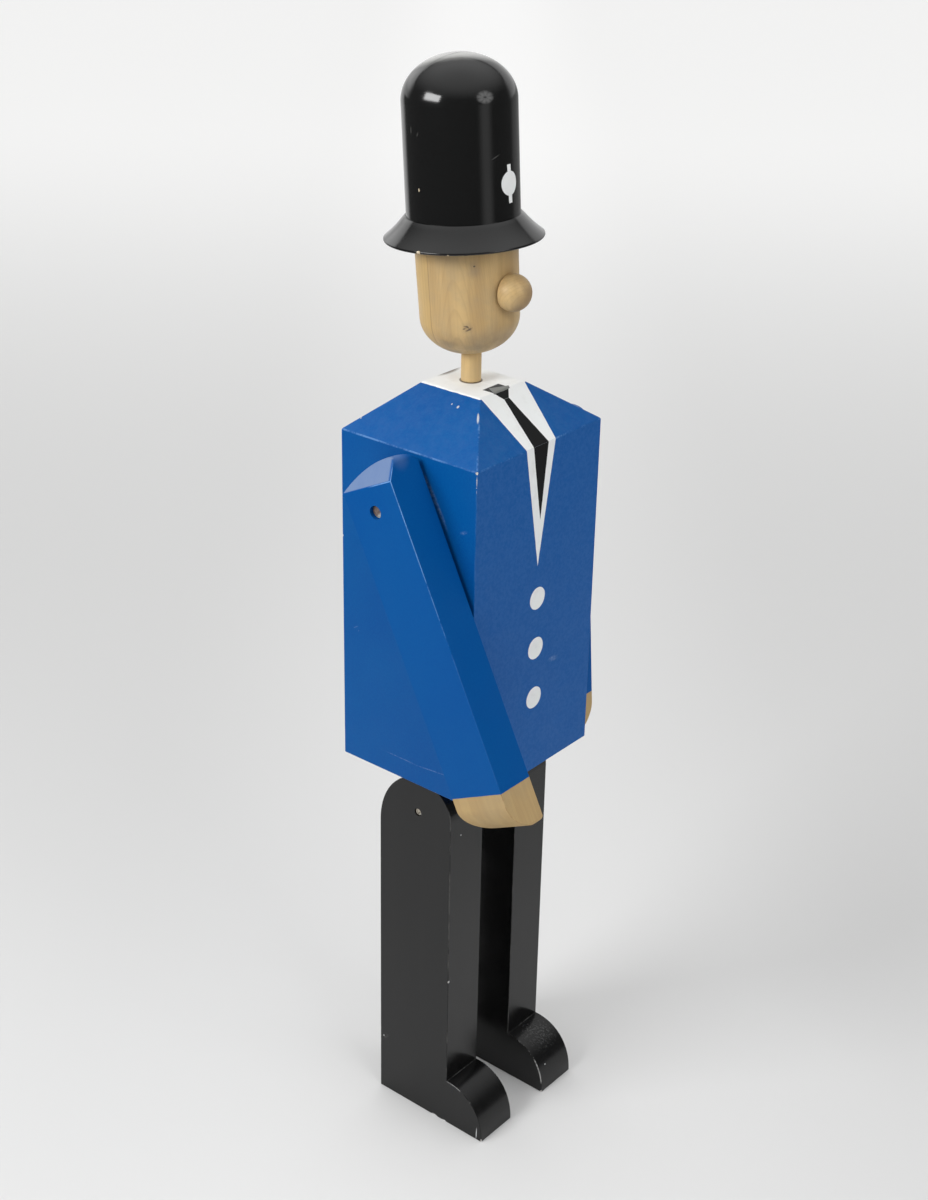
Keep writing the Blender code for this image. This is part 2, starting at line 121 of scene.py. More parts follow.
# Fineness, small rounds and chips
CHIP_ROUGHNESS = 0.45
CHIP_LUMPS = 1.7
CHIP_VARIETY = 900.0
ARC_STEPS = 20
TURNED_STEPS = 144
PIN_STEPS = 48
EDGE_ROUND = 0.0009
LEG_EDGE_ROUND = 0.0008
ARM_EDGE_ROUND = 0.0005
HEAD_EDGE_ROUND = 0.0008
BRIM_FOOT_ROUND = 0.0007
DOWEL_EASE = 0.0003
EDGE_SEGMENTS = 3
SHARP_ANGLE = 24
TORSO_SHARP_ANGLE = 15
TURNED_SHARP_ANGLE = 40
HELMET_SHARP_ANGLE = 32
FLAT_ANGLE = 0.3
HEAD_STEPS = 12
CHIN_STEPS = 36
NOSE_STEPS = 40
NOSE_TURN_STEPS = 96
DOME_STEPS = 48
CROWN_STEPS = 16
BRIM_STEPS = 12
RIM_STEPS = 14
HEAD_EDGE_STEPS = 4
BRIM_FOOT_STEPS = 5
UMBRELLA_STEPS = 48
MERGE_DISTANCE = 0.00001
OVERRUN = 0.0100

# The camera that the photograph was taken with
CAMERA_PLACE = (-1.2059, -0.9364, 1.2886)
CAMERA_AZIMUTH = -50.852
CAMERA_ELEVATION = 26.039
CAMERA_ROLL = 1.123
CAMERA_LENS = 57.643
CAMERA_SENSOR = 36.0
CAMERA_NEAR = 0.05
CAMERA_FAR = 200.0

# Colours
BLUE = (0.0002, 0.079, 0.318)
BLUE_WASHED = (0.0015, 0.106, 0.348)
# Paler blues of the front face: painted light on the front, and sun-fading
BLUE_FRONT_LIT_AND_FADED = (0.0165, 0.116, 0.385)
BLUE_FRONT_LIT_AND_FADED_DEEP = (0.0045, 0.098, 0.358)
# Pale blue of dust on the coat's upper faces, and of chalky worn paint with a painted glare on the cut
# shoulders
BLUE_CHALK_AND_GLARE = (0.165, 0.245, 0.430)
BLUE_SCUFFED = (0.36, 0.50, 0.72)
BLUE_WORN = (0.16, 0.34, 0.66)
WHITE = (0.905, 0.925, 0.925)
WHITE_DIRTY = (0.70, 0.70, 0.68)
TIE_BLACK = (0.006, 0.0065, 0.007)
# Grey of a painted highlight on the tie
TIE_PAINTED_HIGHLIGHT = (0.22, 0.23, 0.22)
TROUSER_BLACK = (0.0045, 0.0046, 0.0048)
TROUSER_WORN = (0.10, 0.10, 0.095)
PRIMER = (0.62, 0.64, 0.64)
PIN_BROWN = (0.21, 0.15, 0.125)
# Pale of primer and a painted highlight on a pin's lower front
PIN_PRIMER_AND_HIGHLIGHT = (0.52, 0.51, 0.46)
PIN_DARK = (0.035, 0.026, 0.018)
PIN_GRIME = (0.40, 0.36, 0.29)
HELMET_BLACK = (0.0060, 0.0062, 0.0062)
CREAM_CHIP = (0.62, 0.52, 0.36)
# Grey of dust and painted sheen on the helmet's dome
DUST_AND_SHEEN_GREY = (0.52, 0.52, 0.50)
WOOD_LIGHT = (0.640, 0.445, 0.200)
WOOD_MIDDLE = (0.515, 0.340, 0.146)
WOOD_GREY = (0.425, 0.318, 0.180)
WOOD_DARK = (0.330, 0.190, 0.075)
GRIME = (0.11, 0.075, 0.045)
# Brown of the painted shade on the nose
NOSE_PAINTED_SHADE = (0.235, 0.140, 0.070)
NECK_PALE = (0.92, 0.66, 0.31)
HEAD_REAR_WOOD = (0.62, 0.42, 0.15)
KNOT_BROWN = (0.040, 0.022, 0.012)
HEAD_PATCH_GREY = (0.20, 0.165, 0.13)
TROUSER_STREAK = (0.0085, 0.0083, 0.0082)
TOE_WORN = (0.42, 0.42, 0.41)
SCRATCH_GREY = (0.35, 0.35, 0.33)
CRACK_BLACK = (0.02, 0.019, 0.018)
PAPER_WHITE = (1.0, 1.0, 0.995)
BLACK = (0.0, 0.0, 0.0)

# Paint
PAINT_SPECULAR = 0.13
SLEEVE_SPECULAR = 0.08
# Height of the painted highlight on an arm's crest
CREST_HIGHLIGHT_HEIGHT = 0.0370
TROUSER_SPECULAR = 0.35
# Half the blur of a painted outline
CRISP = 0.00012
PAINT_ROUGHNESS = (0.36, 0.47)
TROUSER_ROUGHNESS = (0.15, 0.24)
HEAD_ROUGHNESS = (0.42, 0.54)
WOOD_ROUGHNESS = 0.50
PIN_ROUGHNESS = 0.60
CHIP_FACE_ROUGHNESS = 0.75

# Depths of relief
GRAIN_RELIEF = 0.00012
TROUSER_RELIEF = 0.00010
HAND_RELIEF = 0.00016
PAINT_STEP = 0.00008
CUFF_STEP = 0.00010
LACQUER_RELIEF = 0.00010
CRACK_DEPTH = 0.00020
KNOT_DEPTH = 0.00030
CHIP_RELIEF = 0.00020

# Growth rings: the far centre of growth (x, y) and the spacing of the rings
HAND_RINGS = ((0.09, 0.03), 0.0034)
HEAD_REAR_RINGS = ((0.02, 0.09), 0.0040)
NOSE_RINGS = ((0.01, 0.03), 0.0024)
NECK_RINGS = ((0.03, 0.01), 0.0021)
NOSE_GRAIN_TURN = (70, 20, 0)
HEAD_ARCH_SPACING = 0.0245

# The painted collar, tie and buttons, and the torso's wear; a mark is a place, its half sizes, its softness
# and, where it is turned, its turn; a chip is a place and its half sizes
BUTTON_X = 0.0024
BUTTON_HEIGHTS = (0.5559, 0.5069, 0.4572)
BUTTON_RADIUS = 0.0105
LAPEL_EDGE = (-0.0200, 0.0197)
LAPEL_TIP = (0.0010, 0.5874)
TIE_EDGE = (-0.0103, 0.0101)
TIE_TIP = (0.0022, 0.6305)
TIE_TOP = (-0.0130, 0.0083)
TIE_WAIST = (-0.0057, 0.0006)
TIE_WAIST_HEIGHT = 0.7326
ABOVE_TOP = TORSO_TOP + 0.002
HALF_COLLAR = COLLAR_WIDTH / 2
LAPEL_UPPER = [(LAPEL_EDGE[0], SHOULDER_HEIGHT), (LAPEL_EDGE[1], SHOULDER_HEIGHT), (HALF_COLLAR, TORSO_TOP),
               (HALF_COLLAR, ABOVE_TOP), (-HALF_COLLAR, ABOVE_TOP), (-HALF_COLLAR, TORSO_TOP)]
LAPEL_LOWER = [LAPEL_TIP, (LAPEL_EDGE[1], SHOULDER_HEIGHT), (LAPEL_EDGE[0], SHOULDER_HEIGHT)]
TIE_KNOT = [(TIE_WAIST[0], TIE_WAIST_HEIGHT), (TIE_WAIST[1], TIE_WAIST_HEIGHT), (TIE_TOP[1], TORSO_TOP),
            (TIE_TOP[1], ABOVE_TOP), (TIE_TOP[0], ABOVE_TOP), (TIE_TOP[0], TORSO_TOP)]
TIE_BLADE = [(TIE_EDGE[0], SHOULDER_HEIGHT), (TIE_EDGE[1], SHOULDER_HEIGHT),
             (TIE_WAIST[1], TIE_WAIST_HEIGHT), (TIE_WAIST[0], TIE_WAIST_HEIGHT)]
TIE_POINT = [TIE_TIP, (TIE_EDGE[1], SHOULDER_HEIGHT), (TIE_EDGE[0], SHOULDER_HEIGHT)]
TIE_WRAP = [(TIE_TOP[0], FIGURE_Y - 0.0330), (TIE_TOP[1], FIGURE_Y - 0.0330), (0.0108, FIGURE_Y - 0.0295),
            (-0.0063, FIGURE_Y - 0.0219)]
# Where the collar's white is darker along its rear edge
COLLAR_REAR_DARK_CENTER = (0.004, FIGURE_Y + COLLAR_DEPTH / 2, TORSO_TOP)
COLLAR_REAR_DARK_SIZE = (0.0125, 0.0042, 0.003)
WORN_HEIGHTS = (0.683, 0.697)
NECK_RING_INNER = 0.0092
NECK_RING_OUTER = 0.0106
TORSO_MARKS = [
    ((-0.0413, 0.0222, 0.7304), (0.0017, 0.0010, 0.0014), 0.3, (0, 35, 0)),
    ((-0.0404, 0.0295, 0.7310), (0.0008, 0.0006, 0.0008), 0.3, (0, 35, 0)),
    ((-0.0725, 0.1032, 0.7088), (0.0008, 0.0006, 0.0008), 0.3, (0, 35, 0)),
    ((-0.0452, -0.0027, 0.7276), (0.0009, 0.0009, 0.0050), 0.4, (0, 61.3, 37.9)),
    ((-0.0852, -0.0352, 0.6925), (0.0006, 0.0006, 0.0046), 0.4),
    ((-0.0852, -0.0352, 0.6830), (0.0004, 0.0004, 0.0020), 0.4),
]
TORSO_SCUFFS = [
    ((-0.0852, 0.0430, 0.4018), (0.0008, 0.0180, 0.0004), 0.8),
    ((-0.0852, 0.0110, 0.4029), (0.0008, 0.0170, 0.0004), 0.8, (-5.5, 0, 0)),
    ((-0.0852, 0.0991, 0.5158), (0.0008, 0.0026, 0.0005), 0.5, (-35, 0, 0)),
    ((-0.0852, 0.0960, 0.5130), (0.0008, 0.0012, 0.0004), 0.5, (-55, 0, 0)),
    ((-0.0852, -0.0226, 0.6435), (0.0008, 0.0030, 0.0012), 0.8, (-25, 0, 0)),
    ((0.0292, -0.0352, 0.4865), (0.0056, 0.0010, 0.0024), 0.6, (0, 8, 0)),
    ((-0.0852, 0.0135, 0.6700), (0.0008, 0.0022, 0.0150), 0.8, (-33, 0, 0)),
    ((-0.0852, 0.0045, 0.6560), (0.0008, 0.0016, 0.0120), 0.9, (-30, 0, 0)),
]
TORSO_CHIPS = [
    ((-0.0855, -0.0355, 0.7000), (0.0019, 0.0020, 0.0022)),
    ((-0.0854, -0.0354, 0.6936), (0.0008, 0.0010, 0.0013)),
    ((-0.0854, -0.0354, 0.6868), (0.0007, 0.0009, 0.0009)),
    ((-0.0425, -0.0004, 0.7300), (0.0007, 0.0007, 0.0010)),
    ((-0.0856, 0.1148, 0.6006), (0.0018, 0.0018, 0.0019)),
    ((-0.0855, 0.0043, 0.3814), (0.0010, 0.0020, 0.0010)),
    ((0.0853, 0.1146, 0.4870), (0.0012, 0.0013, 0.0021)),
    ((0.0300, 0.1146, 0.3814), (0.0022, 0.0010, 0.0010)),
]

# Wear of the legs
TOE_BEGINS = FIGURE_Y + LEG_SETBACK - LEG_DEPTH / 2
LEG_MARKS = [
    ((-0.0698, -0.0022, 0.1685), (0.0008, 0.0008, 0.0011), 0.3),
    ((-0.0561, -0.0022, 0.3260), (0.0006, 0.0006, 0.0007), 0.3),
    ((-0.0709, 0.0789, 0.0638), (0.0006, 0.0007, 0.0006), 0.3),
    ((-0.0709, -0.0408, 0.0075), (0.0005, 0.0005, 0.0060), 0.5, (2, 0, 0)),
    ((-0.0709, 0.0125, 0.0008), (0.0006, 0.0030, 0.0010), 0.5),
    ((-0.0709, -0.0004, 0.0007), (0.0006, 0.0018, 0.0008), 0.5),
    ((0.0357, -0.0420, 0.0263), (0.0008, 0.0008, 0.0006), 0.4),
]
LEG_SCUFFS = [
    ((-0.0709, 0.0770, 0.0640), (0.0008, 0.0044, 0.0022), 0.6, (-40, 0, 0)),
    ((0.0500, -0.0200, 0.0440), (0.0160, 0.0160, 0.0130), 0.6),
]
LEG_SCUFF_SHARE = 0.10
LEG_CHIPS = {
    "right": [
        ((-0.0711, 0.0125, -0.0002), (0.0014, 0.0048, 0.0016)),
        ((-0.0711, 0.0015, -0.0002), (0.0012, 0.0026, 0.0014)),
        ((-0.0709, -0.0470, 0.0010), (0.0012, 0.0012, 0.0030)),
        ((-0.0711, -0.0025, 0.1685), (0.0009, 0.0009, 0.0015)),
    ],
    "left": [
        ((0.0247, -0.0470, 0.0010), (0.0012, 0.0014, 0.0022)),
        ((0.0711, 0.0836, 0.2100), (0.0011, 0.0011, 0.0019)),
    ],
}

# The helmet's badge and wear, in the helmet's own frame
BADGE_YAW = math.radians(3.4)
BADGE_HEIGHT = 0.0486
BADGE_SLANT = 0.05
BADGE_REACH = (0.0102, 0.0099)
BADGE_TABS = [(-0.0023, 0.0326), (0.0023, 0.0326), (0.0023, 0.0639), (-0.0023, 0.0639)]
HELMET_CHIPS = [
    ((-0.0472, 0.0060, 0.0463), (0.0009, 0.0007, 0.0013), 0.3),
    ((-0.0666, -0.0074, 0.0015), (0.0016, 0.0016, 0.0012), 0.3),
]
HELMET_SCRATCHES = [
    ((-0.0125, -0.0459, 0.0716), (0.0038, 0.0020, 0.0005), 0.6, (0, -22, 0)),
    ((-0.0455, 0.0130, 0.0930), (0.0020, 0.0006, 0.0022), 0.9),
    ((-0.0460, 0.0050, 0.0905), (0.0020, 0.0005, 0.0016), 0.9, (30, 0, 0)),
]
# Dust and painted sheen on the dome
DOME_DUST_AND_SHEEN = ((0.0000, 0.0050, 0.1470), (0.0300, 0.0190, 0.0150), 0.40, (0, 0, -51))
DOME_CRACKS = [
    ((-0.0190, 0.0030, 0.1425), (0.0120, 0.0006, 0.0080), 0.5, (0, 0, -22)),
    ((-0.0030, -0.0020, 0.1480), (0.0100, 0.0006, 0.0040), 0.5, (0, 0, -14)),
]
HELMET_CUTS = [
    ((-0.0668, -0.0078, 0.0010), (0.0011, 0.0016, 0.0010)),
    ((-0.0590, -0.0321, 0.0004), (0.0009, 0.0012, 0.0007)),
    ((0.0300, 0.0602, 0.0006), (0.0013, 0.0010, 0.0009)),
]

# The head's grain and marks, in the head's own frame
HEAD_JOINT = 0.0066
HEAD_ARCH = (-66, 0.0042)
HEAD_MARKS = [
    ((-0.0337, -0.0245, 0.0330), (0.0022, 0.0022, 0.0007), 0.7, (0, 42, 0)),
    ((-0.0325, -0.0258, 0.0312), (0.0024, 0.0024, 0.0007), 0.7, (0, -38, 0)),
    ((-0.0345, -0.0232, 0.0318), (0.0018, 0.0018, 0.0004), 0.7, (0, -5, 0)),
    ((-0.0292, -0.0318, 0.0838), (0.0008, 0.0008, 0.0007), 0.5),
]
# Greyer patches on the head, by the knots and low on the chin
HEAD_GREY_PATCHES = [
    ((-0.0330, -0.0248, 0.0322), (0.0042, 0.0042, 0.0034), 0.9),
    ((-0.0360, -0.0060, 0.0170), (0.0080, 0.0070, 0.0035), 0.6),
    ((-0.0200, -0.0300, 0.0120), (0.0120, 0.0100, 0.0050), 0.8),
    ((-0.0290, -0.0320, 0.0800), (0.0040, 0.0040, 0.0060), 0.8),
    ((-0.0095, -0.0380, 0.0200), (0.0170, 0.0120, 0.0090), 0.9),
    ((-0.0250, -0.0030, 0.0070), (0.0060, 0.0060, 0.0050), 0.8),
]

# Studio: a light's place is its distance from the helmet and its direction
# Painted light on the floor: its tone far and near, a painted pool of light, and a painted glow far off
FLOOR_FAR_TONE = 0.70
FLOOR_NEAR_TONE = 0.71
FLOOR_LIGHT_POOL = 0.07
BACKDROP_GLOW = 0.36
FLOOR_SIZE = 60.0
FLOOR_DROP = 0.0006
PAPER_WIDTH = 2.56
PAPER_ASIDE = 0.20
PAPER_FRONT = 1.30
PAPER_BACK = 3.20
HELMET_MIDDLE = (0.0, FIGURE_Y + 0.01, 0.98)
SOFTBOX_PLACE = (1.70, (-0.892, 0.301, 0.338))
SOFTBOX_SIZE = (1.00, 0.52)
SOFTBOX_POWER = 22.0
FILL_PLACE = (2.40, (-0.20, -0.86, 0.47))
FILL_SIZE = (1.20, 1.20)
FILL_POWER = 13.9
UMBRELLA_PLACE = (2.00, (0.044, -0.930, 0.364))
UMBRELLA_RADIUS = 0.62
UMBRELLA_STRENGTH = 3.2
UMBRELLA_RIBS = 8
CEILING_NEAR = 0.88
CEILING_FAR = 1.22
ROOM_DIM = 0.11
BACKDROP = 0.95
BACKDROP_LEFT = 1.60
BACKDROP_TOP = 0.74
BACKGROUND_SEEN = 0.90
STRIP_AZIMUTH = 180
STRIP_LIGHT = 0.55
RAIL_SHADE = 0.50

# Turns an outline drawn in x and y into one seen from the side (y, z) or from the front (x, z)
SIDE_VIEW = Matrix(((0, 0, 1), (1, 0, 0), (0, 1, 0))).to_4x4()
FRONT_VIEW = Matrix(((1, 0, 0), (0, 0, -1), (0, 1, 0))).to_4x4()


def turned_by(x, y, z=0.0):
    """A rotation by angles in degrees."""
    return Euler([math.radians(angle) for angle in (x, y, z)]).to_matrix().to_4x4()


NECK_TOP = Vector((0.0, FIGURE_Y + NECK_SETBACK, TORSO_TOP + NECK_LENGTH))
HEAD_PLACE = Matrix.Translation(NECK_TOP) @ turned_by(*HEAD_LEAN)
LEAN_SKEW = math.radians(math.hypot(HEAD_LEAN[0] - HELMET_LEAN[0], HEAD_LEAN[1] - HELMET_LEAN[1]))
HELMET_SEAT = Vector((0.0, HELMET_SETBACK, HEAD_HEIGHT + SEAT_GAP + HEAD_TOP_RADIUS * math.sin(LEAN_SKEW)))
HELMET_PLACE = Matrix.Translation(HEAD_PLACE @ HELMET_SEAT) @ turned_by(*HELMET_LEAN)


def place_of(box):
    """The middle and the size of the box of a CAD node."""
    low, high = box
    return (low + high) / 2, high - low


def arm_place(name):
    """The frame of an arm, with its origin on the shoulder pin."""
    pin = place_of(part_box(name + "_shoulder_pin"))[0]
    pivot = Vector((SIDES[name] * ARM_MIDDLE_X, pin.y, pin.z))
    return Matrix.Translation(pivot) @ turned_by(-ARM_SWING[name], 0.0)


# Outlines and meshes

def oval_arc(center, reach, start, end, steps=ARC_STEPS, fullness=2.0):
    """Points along an oval from angle start to end; fullness 2 is an ellipse, more is squarer."""
    points = []
    for step in range(steps + 1):
        angle = math.radians(start + (end - start) * step / steps)
        across = math.cos(angle)
        along = math.sin(angle)
        x = center[0] + reach[0] * math.copysign(abs(across) ** (2 / fullness), across)
        y = center[1] + reach[1] * math.copysign(abs(along) ** (2 / fullness), along)
        points.append((x, y))
    return points


def without_repeats(points):
    """Drops a point that falls on the one before it."""
    kept = []
    for point in points:
        if not kept or math.dist(point, kept[-1]) > MERGE_DISTANCE:
            kept.append(point)
    if math.dist(kept[0], kept[-1]) <= MERGE_DISTANCE:
        kept.pop()
    return kept


def prism(outline, thickness, view):
    """A flat outline sawn to a thickness, centred on the plane it was drawn in."""
    mesh = bmesh.new()
    corners = [mesh.verts.new((x, y, -thickness / 2)) for x, y in without_repeats(outline)]
    face = mesh.faces.new(corners)
    raised = bmesh.ops.extrude_face_region(mesh, geom=[face], use_keep_orig=True)["geom"]
    lifted = [item for item in raised if isinstance(item, bmesh.types.BMVert)]
    bmesh.ops.translate(mesh, vec=(0.0, 0.0, thickness), verts=lifted)
    bmesh.ops.recalc_face_normals(mesh, faces=mesh.faces)
    bmesh.ops.transform(mesh, matrix=view, verts=mesh.verts)
    return mesh


def lathe(profile, steps=TURNED_STEPS):
    """A turned form from a profile of (radius, height) that runs down its outer side."""
    mesh = bmesh.new()
    corners = [mesh.verts.new((radius, 0.0, height)) for radius, height in without_repeats(profile)]
    edges = [mesh.edges.new(pair) for pair in zip(corners, corners[1:])]
    bmesh.ops.spin(mesh, geom=corners + edges, axis=(0, 0, 1), cent=(0, 0, 0), steps=steps, angle=math.tau,
                   use_merge=True)
    bmesh.ops.remove_doubles(mesh, verts=mesh.verts, dist=MERGE_DISTANCE)
    bmesh.ops.recalc_face_normals(mesh, faces=mesh.faces)
    return mesh


def round_edges(mesh, width=EDGE_ROUND, slot=1, sharper_than=SHARP_ANGLE):
    """Rounds the corners of a block a little; the rounds take the given material slot."""
    limit = math.radians(sharper_than)
    edges = [edge for edge in mesh.edges if edge.calc_face_angle(0.0) > limit]
    bmesh.ops.bevel(mesh, geom=edges, offset=width, segments=EDGE_SEGMENTS, profile=0.5, affect="EDGES",
                    clamp_overlap=False, material=slot)


def piece(name, mesh, place, materials):
    """An object whose mesh is in its own frame."""
    data = bpy.data.meshes.new(name)
    mesh.to_mesh(data)
    mesh.free()
    for material in materials:
        data.materials.append(material)
    item = bpy.data.objects.new(name, data)
    bpy.context.scene.collection.objects.link(item)
    item.matrix_world = place
    return item


def apply_boolean(target, tool, operation="DIFFERENCE"):
    """Cuts or joins the target with the tool, and removes the tool."""
    modifier = target.modifiers.new("cut", "BOOLEAN")
    modifier.operation = operation
    modifier.solver = "EXACT"
    modifier.object = tool
    bpy.context.view_layer.update()
    graph = bpy.context.evaluated_depsgraph_get()
    result = bpy.data.meshes.new_from_object(target.evaluated_get(graph))
    old = target.data
    target.modifiers.clear()
    target.data = result
    bpy.data.meshes.remove(old)
    bpy.data.objects.remove(tool, do_unlink=True)


def drill(target, diameter, start, end, slot=2):
    """Bores a round hole between two points of the figure; its wall takes the given material slot."""
    way = Vector(end) - Vector(start)
    mesh = bmesh.new()
    radius = diameter / 2
    bmesh.ops.create_cone(mesh, cap_ends=True, segments=PIN_STEPS, radius1=radius, radius2=radius,
                          depth=way.length)
    for face in mesh.faces:
        face.material_index = slot
    turn = way.to_track_quat("Z", "Y").to_matrix().to_4x4()
    place = Matrix.Translation((Vector(start) + Vector(end)) / 2) @ turn
    apply_boolean(target, piece("drill", mesh, place, target.data.materials))


def pin_hole(target, box, start, end, slot=2):
    """Bores the hole of a dowel that lies along X, between two places along it."""
    middle, size = place_of(box)
    drill(target, size.z + 2 * PIN_CLEARANCE, (start, middle.y, middle.z), (end, middle.y, middle.z), slot)


def inner_end(box):
    """How far from the middle of the figure the hole of a dowel along X begins."""
    middle, size = place_of(box)
    return abs(middle.x) - size.x / 2 - SEAT_GAP


def neck_hole(target, start, end):
    """Bores the upright hole of the neck between two heights."""
    middle, size = place_of(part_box("neck_dowel"))
    drill(target, size.x + 2 * PIN_CLEARANCE, (0.0, middle.y, start), (0.0, middle.y, end))


def chip(target, center, size, slot=2):
    """Breaks a small rough flake out of a surface; the break takes the given material slot."""
    mesh = bmesh.new()
    bmesh.ops.create_icosphere(mesh, subdivisions=2, radius=1.0)
    for vertex in mesh.verts:
        lump = noise.noise(vertex.co * CHIP_LUMPS + Vector(center) * CHIP_VARIETY)
        vertex.co *= 1 + CHIP_ROUGHNESS * lump
        vertex.co = Vector([part * half for part, half in zip(vertex.co, size)])
    for face in mesh.faces:
        face.material_index = slot
    apply_boolean(target, piece("chip", mesh, Matrix.Translation(center), target.data.materials))


def finish_piece(item, node, smooth_below=SHARP_ANGLE, tilted=False):
    """Shades a finished piece and lets it stand for its CAD node; a tilted one gives up its own frame."""
    if tilted:
        item.data.transform(item.matrix_world)
        item.matrix_world = Matrix.Identity(4)
    item.data.shade_smooth()
    item.data.set_sharp_from_angle(angle=math.radians(smooth_below))
    even = item.modifiers.new("even_shading", "WEIGHTED_NORMAL")
    even.keep_sharp = True
    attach(item, "root")
    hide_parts(node)


# Materials

class Nodes:
    """Writes one node tree; calls return output sockets, and inputs are sockets or plain values."""

    def __init__(self, tree):
        self.tree = tree

    def add(self, kind, inputs=None, **settings):
        node = self.tree.nodes.new(kind)
        for key, value in settings.items():
            setattr(node, key, value)
        for key, value in (inputs or {}).items():
            self.feed(node.inputs[key], value)
        return node

    def feed(self, socket, value):
        if isinstance(value, bpy.types.NodeSocket):
            self.tree.links.new(value, socket)
        else:
            socket.default_value = value

    def math(self, operation, first, second=0.0, third=0.0):
        return self.add("ShaderNodeMath", {0: first, 1: second, 2: third}, operation=operation).outputs[0]

    def plus(self, first, second):
        return self.math("ADD", first, second)

    def minus(self, first, second):
        return self.math("SUBTRACT", first, second)

    def rest(self, share):
        """What a share leaves of one."""
        return self.math("SUBTRACT", 1.0, share)

    def times(self, first, second):
        return self.math("MULTIPLY", first, second)

    def times_plus(self, first, second, third):
        return self.math("MULTIPLY_ADD", first, second, third)

    def absolute(self, value):
        return self.math("ABSOLUTE", value)

    def vector(self, operation, first, second=(0.0, 0.0, 0.0)):
        node = self.add("ShaderNodeVectorMath", {0: first, 1: second}, operation=operation)
        return node.outputs["Value" if operation in ("LENGTH", "DOT_PRODUCT") else "Vector"]

    def split(self, vector):
        return self.add("ShaderNodeSeparateXYZ", {0: vector}).outputs

    def stretched(self, vector, scale, rotation=(0.0, 0.0, 0.0)):
        turn = [math.radians(angle) for angle in rotation]
        inputs = {"Vector": vector, "Rotation": turn, "Scale": scale}
        return self.add("ShaderNodeMapping", inputs).outputs[0]

    def noise(self, vector, scale, detail=2.0, roughness=0.5):
        inputs = {"Vector": vector, "Scale": scale, "Detail": detail, "Roughness": roughness}
        return self.add("ShaderNodeTexNoise", inputs).outputs[0]

    def noise_vector(self, vector, scale, reach):
        """A place moved about by noise, by up to about half the reach."""
        texture = self.add("ShaderNodeTexNoise", {"Vector": vector, "Scale": scale, "Detail": 3.0})
        centred = self.vector("SUBTRACT", texture.outputs["Color"], (0.5, 0.5, 0.5))
        moved = self.vector("MULTIPLY", centred, (reach, reach, reach))
        return self.vector("ADD", vector, moved)

    def ramp(self, value, low, high, to_low=0.0, to_high=1.0):
        inputs = {"Value": value, "From Min": low, "From Max": high, "To Min": to_low, "To Max": to_high}
        return self.add("ShaderNodeMapRange", inputs, interpolation_type="SMOOTHSTEP").outputs[0]

    def mix(self, share, first, second):
        """A colour between two, by a share."""
        node = self.add("ShaderNodeMix", {0: share}, data_type="RGBA")
        for index, color in ((6, first), (7, second)):
            if not isinstance(color, bpy.types.NodeSocket):
                color = (*color, 1.0)
            self.feed(node.inputs[index], color)
        return node.outputs[2]

    def either(self, masks):
        """The stronger of several masks."""
        total = masks[0]
        for mask in masks[1:]:
            total = self.math("MAXIMUM", total, mask)
        return total

    def spot(self, vector, center, size, soft=0.35, rotation=(0.0, 0.0, 0.0)):
        """A mask of an oval blot with the given half sizes."""
        turn = [math.radians(angle) for angle in rotation]
        inputs = {"Vector": vector, "Location": center, "Rotation": turn, "Scale": size}
        local = self.add("ShaderNodeMapping", inputs, vector_type="TEXTURE").outputs[0]
        return self.ramp(self.vector("LENGTH", local), 1.0 + soft, 1.0 - soft)

    def marks(self, vector, spots):
        """A mask of a list of blots."""
        return self.either([self.spot(vector, *spot) for spot in spots])

    def inside(self, u, v, corners, soft):
        """A mask of a convex outline whose corners run anticlockwise in u and v."""
        distance = None
        for (u0, v0), (u1, v1) in zip(corners, corners[1:] + corners[:1]):
            length = math.hypot(u1 - u0, v1 - v0)
            nu = (v1 - v0) / length
            nv = (u0 - u1) / length
            side = self.times_plus(u, nu, -(u0 * nu + v0 * nv))
            side = self.times_plus(v, nv, side)
            distance = side if distance is None else self.math("MAXIMUM", distance, side)
        return self.ramp(distance, soft, -soft)

    def disc(self, u, v, center, reach, soft):
        """A mask of an upright oval with its two half sizes; soft is a share of its size."""
        du = self.times_plus(u, 1 / reach[0], -center[0] / reach[0])
        dv = self.times_plus(v, 1 / reach[1], -center[1] / reach[1])
        square = self.plus(self.times(du, du), self.times(dv, dv))
        return self.ramp(self.math("SQRT", square), 1 + soft, 1 - soft)

    def bump(self, height, distance, strength, under=None):
        inputs = {"Height": height, "Distance": distance, "Strength": strength}
        node = self.add("ShaderNodeBump", inputs)
        if under is not None:
            self.feed(node.inputs["Normal"], under)
        return node.outputs[0]


class Surface(Nodes):
    """The nodes of a new material; its places are in the figure's frame, or in that of a tilted piece."""

    def __init__(self, name, frame_of_piece=None):
        self.material = bpy.data.materials.new(name)
        self.material.use_nodes = True
        super().__init__(self.material.node_tree)
        self.shader = self.tree.nodes["Principled BSDF"]
        self.place = self.add("ShaderNodeTexCoord").outputs["Object"]
        if frame_of_piece is not None:
            turn = frame_of_piece.to_euler()
            inputs = {"Vector": self.place, "Location": frame_of_piece.translation, "Rotation": turn}
            self.place = self.add("ShaderNodeMapping", inputs, vector_type="TEXTURE").outputs[0]

    def surface(self, color, roughness, normal=None):
        self.feed(self.shader.inputs["Base Color"], color)
        self.feed(self.shader.inputs["Roughness"], roughness)
        if normal is not None:
            self.feed(self.shader.inputs["Normal"], normal)
        return self.material


